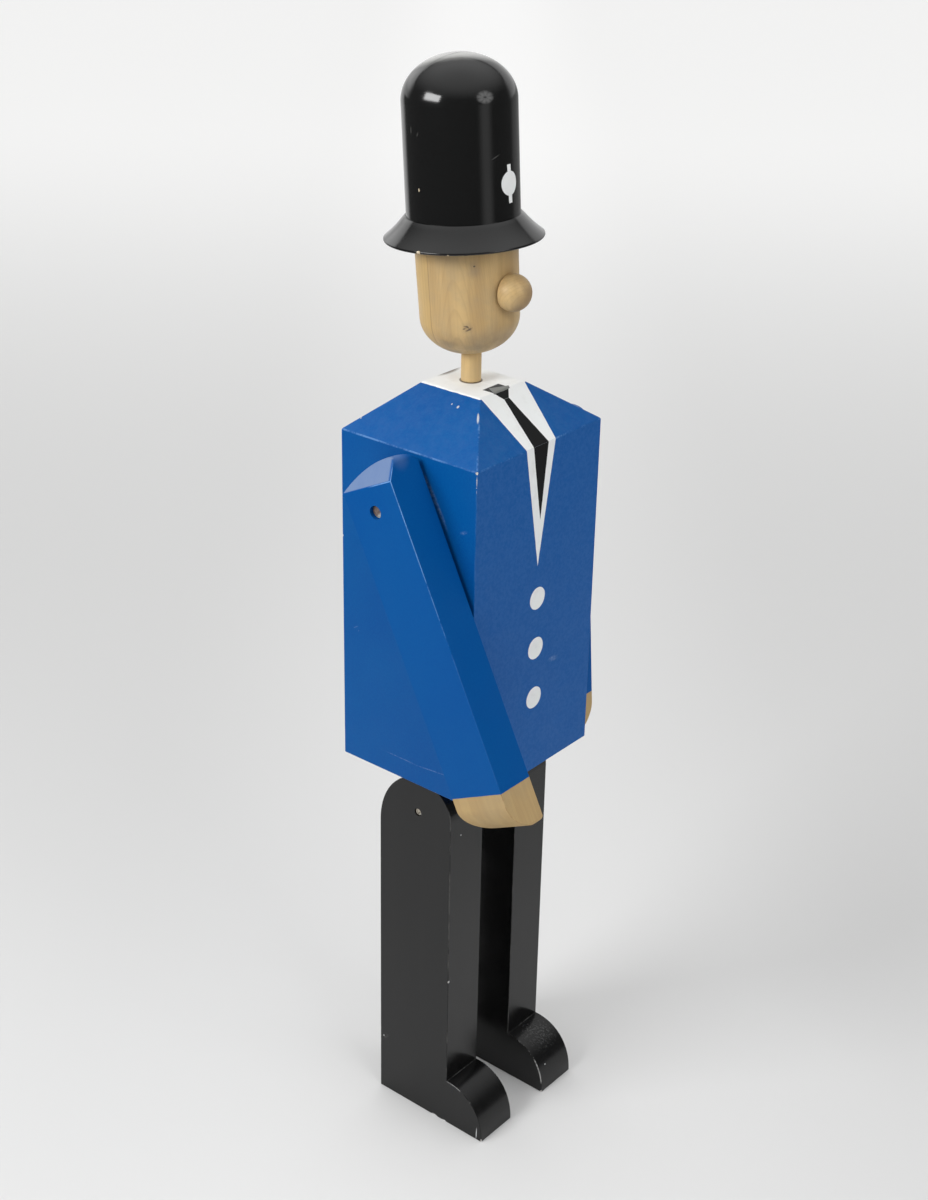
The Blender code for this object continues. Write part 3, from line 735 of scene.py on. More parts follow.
def ring_field(nodes, place, ring_center, tilt):
    """The distance from a far centre of growth, whose lines run along Z."""
    x, y = nodes.split(nodes.noise_vector(nodes.stretched(place, (1.0, 1.0, 0.16)), 26.0, 0.0050))[:2]
    height = nodes.split(place)[2]
    across = nodes.times_plus(height, tilt, nodes.minus(x, ring_center[0]))
    deep = nodes.minus(y, ring_center[1])
    square = nodes.plus(nodes.times(across, across), nodes.times(deep, deep))
    return nodes.math("SQRT", square)


def arch_field(nodes, place, radius, yaw, spread):
    """A field whose contours are nested arches, open downwards, on the side of a turned piece."""
    x, y, z = nodes.split(nodes.noise_vector(place, 22.0, 0.0045))
    turn = nodes.minus(nodes.math("ARCTAN2", x, nodes.times(y, -1.0)), math.radians(yaw))
    across = nodes.times(turn, radius)
    return nodes.times_plus(nodes.times(across, across), 1 / spread, z)


def wood_parts(nodes, place, field, spacing, late_share=0.16):
    """The colour and the relief of pale, close-grained wood whose growth rings follow a field."""
    turn_share = nodes.math("FRACT", nodes.math("DIVIDE", field, spacing))
    late = nodes.times(nodes.ramp(turn_share, 0.62, 0.93), nodes.ramp(turn_share, 1.0, 0.95))
    fibre = nodes.noise(nodes.stretched(place, (520.0, 520.0, 14.0)), 1.0, 3.0, 0.6)
    streak = nodes.noise(nodes.stretched(place, (90.0, 90.0, 6.0)), 1.0, 3.0, 0.55)
    pores = nodes.ramp(nodes.noise(nodes.stretched(place, (2300.0, 2300.0, 260.0)), 1.0, 1.0), 0.66, 0.76)
    tone = nodes.noise(place, 34.0, 4.0, 0.6)
    color = nodes.mix(nodes.ramp(streak, 0.30, 0.72), WOOD_LIGHT, WOOD_MIDDLE)
    color = nodes.mix(nodes.times(late, late_share), color, WOOD_DARK)
    color = nodes.mix(nodes.ramp(fibre, 0.42, 0.80, 0.0, 0.20), color, WOOD_DARK)
    color = nodes.mix(nodes.times(pores, 0.14), color, WOOD_DARK)
    color = nodes.mix(nodes.ramp(tone, 0.38, 0.68, 0.0, 0.50), color, WOOD_GREY)
    relief = nodes.minus(nodes.times(fibre, 0.6), nodes.times(pores, 0.5))
    relief = nodes.minus(relief, nodes.times(late, 0.25))
    return color, relief


def painted_grain(nodes):
    """The faint relief of wood and brush under a coat of paint, grain along Z."""
    grain = nodes.noise(nodes.stretched(nodes.place, (420.0, 420.0, 7.0)), 1.0, 3.0, 0.55)
    peel = nodes.noise(nodes.place, 620.0, 2.0, 0.5)
    return nodes.plus(nodes.times(grain, 0.6), nodes.times(peel, 0.4))


def edge_rub(nodes, low, high):
    """A mask of the stretches of an edge where hands have rubbed the paint."""
    long = nodes.noise(nodes.place, 38.0, 2.0)
    short = nodes.noise(nodes.place, 420.0, 2.0)
    both = nodes.plus(nodes.times(long, 0.7), nodes.times(short, 0.3))
    return nodes.ramp(both, low, high)


def blue_base(nodes, specular=PAINT_SPECULAR):
    """Satin blue paint: its colour, with a slight bloom and speckle."""
    nodes.shader.inputs["Specular IOR Level"].default_value = specular
    bloom = nodes.noise(nodes.place, 7.0, 3.0, 0.6)
    speckle = nodes.noise(nodes.place, 480.0, 3.0, 0.75)
    share = nodes.plus(nodes.ramp(bloom, 0.30, 0.75, 0.0, 0.45), nodes.ramp(speckle, 0.35, 0.70, 0.0, 0.55))
    return nodes.mix(share, BLUE, BLUE_WASHED)


def paint_roughness(nodes, low, high):
    return nodes.ramp(nodes.noise(nodes.place, 24.0, 4.0, 0.6), 0.3, 0.7, low, high)


def coat_material(name, worn):
    """The torso: blue paint with the collar, lapels, tie and buttons painted on."""
    nodes = Surface(name)
    color = blue_base(nodes)
    depth, height = nodes.split(nodes.place)[1:]
    wall_y = FIGURE_Y - TORSO_DEPTH / 2
    # The front face is painted paler and purpler: painted light on the front, and sun-fading
    front_lit_and_faded = nodes.ramp(depth, wall_y + 0.0004, wall_y + 0.0001)
    mottle = nodes.ramp(nodes.noise(nodes.place, 330.0, 3.0, 0.7), 0.36, 0.64)
    color = nodes.mix(front_lit_and_faded, color, nodes.mix(mottle, BLUE_FRONT_LIT_AND_FADED_DEEP, BLUE_FRONT_LIT_AND_FADED))
    upward = nodes.split(nodes.add("ShaderNodeNewGeometry").outputs["Normal"])[2]
    dusted = nodes.ramp(nodes.noise(nodes.place, 90.0, 4.0, 0.7), 0.30, 0.70, 0.010, 0.075)
    dusted = nodes.times(nodes.ramp(upward, 0.20, 0.35), dusted)
    color = nodes.mix(dusted, color, BLUE_CHALK_AND_GLARE)
    if worn:
        share = nodes.ramp(height, *WORN_HEIGHTS, 0.10, 0.50)
        color = nodes.mix(nodes.times(edge_rub(nodes, 0.46, 0.62), share), color, BLUE_WORN)
    hand = nodes.noise_vector(nodes.place, 140.0, 0.0007)
    x, y, z = nodes.split(hand)
    front = nodes.ramp(y, FIGURE_Y - 0.020, FIGURE_Y - 0.021)
    flat = nodes.ramp(z, TORSO_TOP - 0.0012, TORSO_TOP - 0.0010)
    upper = nodes.inside(x, z, LAPEL_UPPER, CRISP)
    lower = nodes.inside(x, z, LAPEL_LOWER, CRISP)
    lapels = nodes.times(front, nodes.either([upper, lower]))
    buttons = [nodes.disc(x, z, (BUTTON_X, height), (BUTTON_RADIUS, BUTTON_RADIUS), 0.015)
               for height in BUTTON_HEIGHTS]
    on_wall = nodes.ramp(y, wall_y + 0.004, wall_y + 0.003)
    buttons = nodes.times(on_wall, nodes.either(buttons))
    white = nodes.either([flat, lapels, buttons])
    knot = nodes.inside(x, z, TIE_KNOT, CRISP)
    blade = nodes.inside(x, z, TIE_BLADE, CRISP)
    point = nodes.inside(x, z, TIE_POINT, CRISP)
    wrap = nodes.times(flat, nodes.inside(x, y, TIE_WRAP, CRISP))
    tie = nodes.math("MAXIMUM", nodes.times(front, nodes.either([knot, blade, point])), wrap)
    dirt = nodes.noise(nodes.place, 60.0, 4.0, 0.65)
    white_paint = nodes.mix(nodes.ramp(dirt, 0.48, 0.80, 0.0, 0.40), WHITE, WHITE_DIRTY)
    # Darker along the collar's rear edge, and grime in a ring round the neck
    rear_edge = nodes.spot(hand, COLLAR_REAR_DARK_CENTER, COLLAR_REAR_DARK_SIZE, soft=0.5)
    ring_offset = nodes.vector("SUBTRACT", hand, (0.0, FIGURE_Y + NECK_SETBACK, TORSO_TOP))
    ring = nodes.ramp(nodes.vector("LENGTH", ring_offset), NECK_RING_OUTER, NECK_RING_INNER)
    white_paint = nodes.mix(nodes.times(nodes.either([rear_edge, ring]), 0.8), white_paint, GRIME)
    color = nodes.mix(white, color, white_paint)
    color = nodes.mix(tie, color, TIE_BLACK)
    # A painted highlight on the tie where it wraps over the flat top of the collar
    color = nodes.mix(nodes.times(wrap, 0.9), color, TIE_PAINTED_HIGHLIGHT)
    marks = nodes.marks(hand, TORSO_MARKS)
    color = nodes.mix(nodes.times(marks, 0.85), color, PRIMER)
    broken = nodes.ramp(nodes.noise(nodes.place, 350.0, 3.0, 0.7), 0.38, 0.62)
    scuffs = nodes.marks(hand, TORSO_SCUFFS)
    scuffs = nodes.times(scuffs, nodes.times_plus(broken, 0.24, 0.05))
    color = nodes.mix(scuffs, color, BLUE_SCUFFED)
    paint_edge = nodes.plus(white, tie)
    relief = nodes.bump(painted_grain(nodes), GRAIN_RELIEF, 0.45)
    relief = nodes.bump(paint_edge, PAINT_STEP, 0.5, relief)
    return nodes.surface(color, paint_roughness(nodes, *PAINT_ROUGHNESS), relief)


def sleeve_material(arm, name, worn, side):
    """An arm: blue down to the cuff, chalky worn paint with a painted glare where the shoulder is cut and a
    painted highlight on its crest, and a bare hand below the cuff.
    """
    nodes = Surface(name, arm_place(arm))
    blue = nodes.mix(0.40, blue_base(nodes, SLEEVE_SPECULAR), BLUE)
    outward, depth, height = nodes.split(nodes.place)
    inward = nodes.times_plus(outward, -side, ARM_THICKNESS / 2)
    # The cut shoulder facet is painted pale: chalky worn paint, and a painted glare
    slope = math.radians(SHOULDER_FACET_ANGLE)
    above = nodes.times_plus(height, math.cos(slope), -math.cos(slope) * SHOULDER_FACET_START)
    above = nodes.times_plus(inward, -math.sin(slope), above)
    chalk_and_glare = nodes.times(nodes.ramp(above, -0.0050, -0.0004), nodes.ramp(inward, 0.0002, 0.0008))
    chalk_and_glare = nodes.times(chalk_and_glare, nodes.ramp(depth, 0.0006 - ARM_WIDTH / 2, 0.0040 - ARM_WIDTH / 2))
    cloudy = nodes.noise(nodes.stretched(nodes.place, (40.0, 70.0, 40.0)), 1.0, 3.0, 0.6)
    chalk_and_glare = nodes.times(chalk_and_glare, nodes.ramp(cloudy, 0.25, 0.65, 0.90, 1.0))
    # A painted highlight on the rounded crest
    crest = (side * (ARM_THICKNESS / 2 - 0.0185), -0.0200, CREST_HIGHLIGHT_HEIGHT)
    crest_highlight = nodes.spot(nodes.place, crest, (0.0080, 0.0110, 0.0085), soft=0.85)
    chalk_and_glare = nodes.math("MAXIMUM", chalk_and_glare, nodes.times(crest_highlight, 0.45))
    blue = nodes.mix(chalk_and_glare, blue, BLUE_CHALK_AND_GLARE)
    if worn:
        wear_and_shade = nodes.times(nodes.ramp(depth, 0.0, -0.010), nodes.ramp(height, -0.180, 0.0, 0.08, 0.9))
        wear_and_shade = nodes.times(wear_and_shade, nodes.ramp(inward, 0.012, 0.006))
        blue = nodes.mix(nodes.times(edge_rub(nodes, 0.36, 0.52), wear_and_shade), blue, BLUE_WORN)
    center, spacing = HAND_RINGS
    rings = ring_field(nodes, nodes.place, center, 0.05)
    wood, relief = wood_parts(nodes, nodes.place, rings, spacing, 0.06)
    hand_place = nodes.noise_vector(nodes.place, 160.0, 0.0006)
    cuff = nodes.split(hand_place)[2]
    bare = nodes.ramp(cuff, CRISP - SLEEVE_LENGTH, -CRISP - SLEEVE_LENGTH)
    wood = nodes.mix(0.42, wood, WOOD_GREY)
    if worn:
        handled_wood = nodes.ramp(nodes.noise(nodes.place, 160.0, 3.0), 0.40, 0.65, 0.0, 0.75)
        wood = nodes.mix(handled_wood, wood, WOOD_DARK)
    color = nodes.mix(bare, blue, wood)
    paint = nodes.bump(painted_grain(nodes), GRAIN_RELIEF, 0.45)
    paint = nodes.bump(nodes.times(relief, bare), HAND_RELIEF, 0.6, paint)
    paint = nodes.bump(bare, -CUFF_STEP, 0.6, paint)
    roughness = nodes.times_plus(bare, 0.16, paint_roughness(nodes, *PAINT_ROUGHNESS))
    return nodes.surface(color, roughness, paint)


def trouser_material(name, worn):
    """A leg: satin black with faint upright grain, rubbed along its edges."""
    nodes = Surface(name)
    streak = nodes.noise(nodes.stretched(nodes.place, (160.0, 160.0, 6.0)), 1.0, 3.0, 0.6)
    color = nodes.mix(nodes.ramp(streak, 0.35, 0.75, 0.0, 0.5), TROUSER_BLACK, TROUSER_STREAK)
    if worn:
        depth, height = nodes.split(nodes.place)[1:]
        toe = nodes.times(nodes.ramp(depth, TOE_BEGINS, TOE_BEGINS - 0.012),
                         nodes.ramp(height, 0.052, 0.044))
        color = nodes.mix(nodes.times(edge_rub(nodes, 0.44, 0.60), 0.5), color, TROUSER_WORN)
        rubbed = nodes.times(toe, edge_rub(nodes, 0.46, 0.55))
        aside = nodes.split(nodes.place)[0]
        rubbed = nodes.times(rubbed, nodes.ramp(aside, -0.01, 0.01, 0.25, 0.90))
        color = nodes.mix(rubbed, color, TOE_WORN)
    marks = nodes.marks(nodes.place, LEG_MARKS)
    color = nodes.mix(marks, color, PRIMER)
    broken = nodes.ramp(nodes.noise(nodes.place, 420.0, 4.0, 0.75), 0.48, 0.66)
    scuffs = nodes.marks(nodes.place, LEG_SCUFFS)
    color = nodes.mix(nodes.times(scuffs, nodes.times(broken, LEG_SCUFF_SHARE)), color, PRIMER)
    relief = nodes.bump(painted_grain(nodes), TROUSER_RELIEF, 0.35)
    nodes.shader.inputs["Specular IOR Level"].default_value = TROUSER_SPECULAR
    return nodes.surface(color, paint_roughness(nodes, *TROUSER_ROUGHNESS), relief)


def helmet_material(name):
    """Glossy black lacquer with a white oval badge in front, a few scratches and chips."""
    nodes = Surface(name, HELMET_PLACE)
    wobble = nodes.noise_vector(nodes.place, 160.0, 0.0004)
    x, y, z = nodes.split(wobble)
    yaw = nodes.math("ARCTAN2", x, nodes.times(y, -1.0))
    along = nodes.times_plus(yaw, CROWN_RADIUS, -BADGE_YAW * CROWN_RADIUS)
    along = nodes.times_plus(nodes.minus(z, BADGE_HEIGHT), BADGE_SLANT, along)
    oval = nodes.disc(along, z, (0.0, BADGE_HEIGHT), BADGE_REACH, 0.012)
    tab = nodes.inside(along, z, BADGE_TABS, CRISP)
    badge = nodes.math("MAXIMUM", oval, tab)
    fine = nodes.noise(nodes.stretched(nodes.place, (60.0, 60.0, 900.0), (20, 35, 0)), 1.0, 2.0)
    smear = nodes.noise(nodes.place, 30.0, 4.0, 0.65)
    chips = nodes.marks(wobble, HELMET_CHIPS)
    scratches = nodes.marks(wobble, HELMET_SCRATCHES)
    color = nodes.mix(nodes.times(scratches, 0.16), HELMET_BLACK, SCRATCH_GREY)
    # Dust on the dome, with a painted sheen that grows towards grazing angles
    facing = nodes.add("ShaderNodeLayerWeight", {"Blend": 0.5}).outputs["Facing"]
    cloud = nodes.noise_vector(nodes.place, 60.0, 0.006)
    dust_and_sheen = nodes.times(nodes.spot(cloud, *DOME_DUST_AND_SHEEN), nodes.ramp(facing, 0.10, 0.60, 0.25, 0.90))
    color = nodes.mix(dust_and_sheen, color, DUST_AND_SHEEN_GREY)
    color = nodes.mix(badge, color, WHITE)
    color = nodes.mix(chips, color, CREAM_CHIP)
    cracks = nodes.marks(wobble, DOME_CRACKS)
    color = nodes.mix(nodes.times(cracks, 0.6), color, CRACK_BLACK)
    roughness = nodes.ramp(smear, 0.35, 0.75, 0.10, 0.17)
    roughness = nodes.plus(roughness, nodes.ramp(fine, 0.62, 0.75, 0.0, 0.08))
    roughness = nodes.times_plus(badge, 0.20, roughness)
    roughness = nodes.times_plus(cracks, 0.30, roughness)
    relief = nodes.bump(nodes.noise(nodes.place, 90.0, 2.0), LACQUER_RELIEF, 0.25)
    relief = nodes.bump(badge, PAINT_STEP, 0.4, relief)
    relief = nodes.bump(cracks, -CRACK_DEPTH, 0.8, relief)
    return nodes.surface(color, roughness, relief)


def head_material(name):
    """The head: turned from two boards glued side by side, with a knot and some greyer patches."""
    nodes = Surface(name, HEAD_PLACE)
    arches = arch_field(nodes, nodes.place, HEAD_TOP_RADIUS, *HEAD_ARCH)
    front_color, front_relief = wood_parts(nodes, nodes.place, arches, HEAD_ARCH_SPACING, 0.17)
    center, spacing = HEAD_REAR_RINGS
    rings = ring_field(nodes, nodes.place, center, 0.02)
    rear_color, rear_relief = wood_parts(nodes, nodes.place, rings, spacing)
    y = nodes.split(nodes.place)[1]
    rear = nodes.ramp(y, HEAD_JOINT - 0.0001, HEAD_JOINT + 0.0001)
    rear_color = nodes.mix(0.30, rear_color, HEAD_REAR_WOOD)
    color = nodes.mix(rear, front_color, rear_color)
    joint = nodes.spot(nodes.place, (0.0, HEAD_JOINT, 0.05), (0.2, 0.00045, 0.2), soft=0.5)
    color = nodes.mix(nodes.times(joint, 0.60), color, WOOD_DARK)
    wobble = nodes.noise_vector(nodes.place, 300.0, 0.0025)
    knots = nodes.marks(wobble, HEAD_MARKS)
    color = nodes.mix(nodes.times(knots, 0.95), color, KNOT_BROWN)
    # Greyer patches by the knots and low on the chin
    grey_patches = nodes.marks(nodes.noise_vector(nodes.place, 120.0, 0.006), HEAD_GREY_PATCHES)
    color = nodes.mix(nodes.times(grey_patches, 0.30), color, HEAD_PATCH_GREY)
    height = nodes.plus(nodes.times(front_relief, nodes.rest(rear)), nodes.times(rear_relief, rear))
    relief = nodes.bump(height, GRAIN_RELIEF, 0.45)
    relief = nodes.bump(nodes.either([knots, joint]), -KNOT_DEPTH, 0.6, relief)
    roughness = nodes.ramp(nodes.noise(nodes.place, 45.0, 3.0), 0.3, 0.7, *HEAD_ROUGHNESS)
    return nodes.surface(color, roughness, relief)


def plain_wood_material(name, rings, turn=(0.0, 0.0, 0.0), grime_height=None, nose=False):
    """Bare wood for a small piece; a nose has painted shade on one side, a neck is grimy where it enters
    the collar.
    """
    nodes = Surface(name, nose_place() if nose else None)
    local = nodes.stretched(nodes.place, (1.0, 1.0, 1.0), turn)
    center, spacing = rings
    color, relief = wood_parts(nodes, local, ring_field(nodes, local, center, 0.03), spacing)
    if nose:
        # Painted shade, tinted brown, on one side of the nose
        x, y, z = nodes.split(nodes.noise_vector(nodes.place, 90.0, 0.006))
        outward = nodes.times(nodes.plus(x, z), 0.6)
        wear_and_shade = nodes.ramp(nodes.times_plus(y, -0.5, outward), -0.001, 0.012)
        color = nodes.mix(nodes.times(wear_and_shade, 0.62), color, NOSE_PAINTED_SHADE)
    if grime_height is not None:
        color = nodes.mix(0.32, color, NECK_PALE)
        height = nodes.split(nodes.noise_vector(nodes.place, 300.0, 0.0012))[2]
        low = nodes.ramp(height, grime_height + 0.0012, grime_height + 0.0004)
        color = nodes.mix(nodes.times(low, 0.85), color, GRIME)
    return nodes.surface(color, WOOD_ROUGHNESS, nodes.bump(relief, GRAIN_RELIEF, 0.45))


def pin_material(name, color, spotted):
    """The end of a dowel that was painted over and handled."""
    nodes = Surface(name)
    x, y = nodes.split(nodes.noise_vector(nodes.place, 500.0, 0.002))[:2]
    # Paler towards the lower front: primer from the hole's lip, and a painted highlight
    lower = nodes.ramp(nodes.minus(x, y), 0.0020, 0.0050)
    spots = nodes.ramp(nodes.noise(nodes.place, 420.0, 3.0, 0.7), 0.46, 0.62, 0.0, spotted)
    return nodes.surface(nodes.mix(spots, nodes.mix(lower, color, PIN_PRIMER_AND_HIGHLIGHT), PIN_DARK), PIN_ROUGHNESS)


def chip_material(name, color):
    """The rough inside of a chip."""
    nodes = Surface(name)
    grain = nodes.noise(nodes.place, 1400.0, 3.0, 0.7)
    shade = nodes.mix(nodes.ramp(grain, 0.35, 0.7, 0.0, 0.5), color, WOOD_DARK)
    return nodes.surface(shade, CHIP_FACE_ROUGHNESS, nodes.bump(grain, CHIP_RELIEF, 0.6))


# Pieces

def make_torso(materials):
    """The body block, with shoulders that slope in to the flat collar."""
    mesh = bmesh.new()
    bmesh.ops.create_cube(mesh, size=1.0)
    wall = SHOULDER_HEIGHT - HEM_HEIGHT
    bmesh.ops.scale(mesh, vec=(TORSO_WIDTH, TORSO_DEPTH, wall), verts=mesh.verts)
    mesh.faces.ensure_lookup_table()
    top = max(mesh.faces, key=lambda face: face.calc_center_median().z)
    raised = bmesh.ops.extrude_face_region(mesh, geom=[top])["geom"]
    corners = [item for item in raised if isinstance(item, bmesh.types.BMVert)]
    bmesh.ops.scale(mesh, vec=(COLLAR_WIDTH / TORSO_WIDTH, COLLAR_DEPTH / TORSO_DEPTH, 1.0), verts=corners)
    bmesh.ops.translate(mesh, vec=(0.0, 0.0, SHOULDER_RISE), verts=corners)
    bmesh.ops.delete(mesh, geom=[face for face in mesh.faces if face == top], context="FACES_ONLY")
    bmesh.ops.recalc_face_normals(mesh, faces=mesh.faces)
    round_edges(mesh, sharper_than=TORSO_SHARP_ANGLE)
    middle = Matrix.Translation((0.0, FIGURE_Y, HEM_HEIGHT + wall / 2))
    bmesh.ops.transform(mesh, matrix=middle, verts=mesh.verts)
    torso = piece("torso_painted", mesh, Matrix.Identity(4), materials)
    neck_hole(torso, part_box("neck_dowel")[0].z - SEAT_GAP, TORSO_TOP + OVERRUN)
    for name, side in SIDES.items():
        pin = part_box(name + "_shoulder_pin")
        pin_hole(torso, pin, side * inner_end(pin), side * (TORSO_WIDTH / 2 + OVERRUN))
    for center, size in TORSO_CHIPS:
        chip(torso, center, size)
    finish_piece(torso, "torso")


def leg_outline():
    """A leg and its foot from the side, as (y, z)."""
    rear = LEG_SETBACK + LEG_DEPTH / 2
    front = LEG_SETBACK - LEG_DEPTH / 2
    crest = LEG_SETBACK - LEG_CREST_FORWARD
    outline = [(rear, 0.0)]
    outline += oval_arc((crest, LEG_HEIGHT - LEG_REAR_ROUND), (rear - crest, LEG_REAR_ROUND), 0, 90)
    outline += oval_arc((crest, LEG_HEIGHT - LEG_FRONT_ROUND), (crest - front, LEG_FRONT_ROUND), 90, 180)
    outline += oval_arc((front, 0.0), (TOE_REACH, INSTEP_HEIGHT), 90, 180, fullness=TOE_FULLNESS)
    return outline


def make_leg(name, side, materials):
    mesh = prism(leg_outline(), LEG_WIDTH, SIDE_VIEW)
    round_edges(mesh, width=LEG_EDGE_ROUND)
    place = Matrix.Translation((side * LEG_MIDDLE_X, FIGURE_Y, 0.0))
    bmesh.ops.transform(mesh, matrix=place, verts=mesh.verts)
    leg = piece(name + "_leg_painted", mesh, Matrix.Identity(4), materials)
    reach = LEG_WIDTH / 2 + OVERRUN
    inner = side * (LEG_MIDDLE_X - reach)
    pin_hole(leg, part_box(name + "_hip_pin"), inner, side * (LEG_MIDDLE_X + reach), slot=0)
    for center, size in LEG_CHIPS[name]:
        chip(leg, center, size)
    finish_piece(leg, name + "_leg")


def arm_side_outline(crest):
    """An arm from the side, as (y, z) from its pivot."""
    half = ARM_WIDTH / 2
    bottom = -(SLEEVE_LENGTH + HAND_LENGTH)
    arc_center = (-CREST_FORWARD, crest - CREST_ARC_RADIUS)
    sweep_end = math.degrees(math.acos((half + CREST_FORWARD) / CREST_ARC_RADIUS))
    outline = oval_arc(arc_center, (CREST_ARC_RADIUS, CREST_ARC_RADIUS), sweep_end, 90)
    outline += oval_arc((-CREST_FORWARD, crest - CREST_FRONT_ROUND),
                        (half - CREST_FORWARD, CREST_FRONT_ROUND), 90, 180)
    outline += oval_arc((-half + HAND_SMALL_ROUND, bottom + HAND_SMALL_ROUND),
                        (HAND_SMALL_ROUND, HAND_SMALL_ROUND), 180, 270, steps=ARC_STEPS // 2)
    outline += oval_arc((half - HAND_ROUND, bottom + HAND_ROUND), (HAND_ROUND, HAND_ROUND), 270, 360,
                        fullness=HAND_FULLNESS)
    return outline


def arm_front_outline(side, crest):
    """An arm from the front, as (x, z) from the middle of its thickness at the pivot."""
    half = ARM_THICKNESS / 2
    bottom = -(SLEEVE_LENGTH + HAND_LENGTH)
    facet_run = (crest - SHOULDER_FACET_START) / math.tan(math.radians(SHOULDER_FACET_ANGLE))
    crest_middle = -half + CREST_INWARD
    outline = [(-half, SHOULDER_FACET_START), (-half + facet_run, crest)]
    outline += oval_arc((crest_middle, crest - CREST_INNER_ROUND),
                        (half - crest_middle, CREST_INNER_ROUND), 90, 0)
    outline += oval_arc((half - HAND_SMALL_ROUND, bottom + HAND_SMALL_ROUND),
                        (HAND_SMALL_ROUND, HAND_SMALL_ROUND), 0, -90, steps=ARC_STEPS // 2)
    outline += oval_arc((-half + HAND_OUTER_TAPER, bottom + HAND_ROUND), (HAND_OUTER_TAPER, HAND_ROUND),
                        270, 180, fullness=HAND_FULLNESS)
    return [(-side * x, z) for x, z in outline]


def make_arm(name, side, materials):
    """A sleeve and hand, shaped where the outline from the side and the one from the front meet."""
    place = arm_place(name)
    crest = SHOULDER_CREST[name]
    side_form = prism(arm_side_outline(crest), ARM_THICKNESS + OVERRUN, SIDE_VIEW)
    block = piece(name + "_arm_painted", side_form, place, materials)
    front = prism(arm_front_outline(side, crest), ARM_WIDTH + OVERRUN, FRONT_VIEW)
    apply_boolean(block, piece("front", front, place, materials), "INTERSECT")
    mesh = bmesh.new()
    mesh.from_mesh(block.data)
    bmesh.ops.remove_doubles(mesh, verts=mesh.verts, dist=MERGE_DISTANCE)
    bmesh.ops.dissolve_limit(mesh, angle_limit=math.radians(FLAT_ANGLE), verts=mesh.verts, edges=mesh.edges)
    round_edges(mesh, width=ARM_EDGE_ROUND)
    mesh.to_mesh(block.data)
    mesh.free()
    reach = ARM_THICKNESS / 2 + OVERRUN
    inner = side * (ARM_MIDDLE_X - reach)
    pin_hole(block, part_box(name + "_shoulder_pin"), inner, side * (ARM_MIDDLE_X + reach), slot=0)
    finish_piece(block, name + "_arm", tilted=True)


def make_head(material):
    ease = HEAD_EDGE_ROUND
    profile = [(0.0, HEAD_HEIGHT), (HEAD_TOP_RADIUS - ease, HEAD_HEIGHT)]
    profile += oval_arc((HEAD_TOP_RADIUS - ease, HEAD_HEIGHT - ease), (ease, ease), 90, 0,
                        steps=HEAD_EDGE_STEPS)
    for step in range(1, HEAD_STEPS):
        share = step / HEAD_STEPS
        radius = HEAD_TOP_RADIUS + (HEAD_CHIN_RADIUS - HEAD_TOP_RADIUS) * share
        profile.append((radius, HEAD_HEIGHT - HEAD_WALL_HEIGHT * share))
    profile += oval_arc((0.0, CHIN_HEIGHT), (HEAD_CHIN_RADIUS, CHIN_HEIGHT), 0, -90, steps=CHIN_STEPS)
    head = piece("head_turned", lathe(profile), HEAD_PLACE, [material, material, material])
    neck_hole(head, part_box("neck_dowel")[1].z + SEAT_GAP, NECK_TOP.z - OVERRUN)
    finish_piece(head, "head", smooth_below=TURNED_SHARP_ANGLE, tilted=True)


def nose_place():
    """The frame of the nose, with its Z pointing out of the face."""
    share = (NOSE_HEIGHT - CHIN_HEIGHT) / HEAD_WALL_HEIGHT
    wall_radius = HEAD_CHIN_RADIUS + (HEAD_TOP_RADIUS - HEAD_CHIN_RADIUS) * share
    flare = math.degrees(math.atan((HEAD_TOP_RADIUS - HEAD_CHIN_RADIUS) / HEAD_WALL_HEIGHT))
    reach = wall_radius + NOSE_FLAT_SETBACK + SEAT_GAP
    return HEAD_PLACE @ Matrix.Translation((0.0, -reach, NOSE_HEIGHT)) @ turned_by(90.0 + flare, 0.0)


def make_nose(material):
    """A ball with a flat back, on the front of the head."""
    flat_angle = math.degrees(math.asin(NOSE_FLAT_SETBACK / NOSE_RADIUS))
    profile = oval_arc((0.0, 0.0), (NOSE_RADIUS, NOSE_RADIUS), 90, -flat_angle, steps=NOSE_STEPS)
    profile.append((0.0, -NOSE_FLAT_SETBACK))
    nose = piece("nose_ball", lathe(profile, NOSE_TURN_STEPS), nose_place(), [material])
    finish_piece(nose, "nose", smooth_below=TURNED_SHARP_ANGLE, tilted=True)


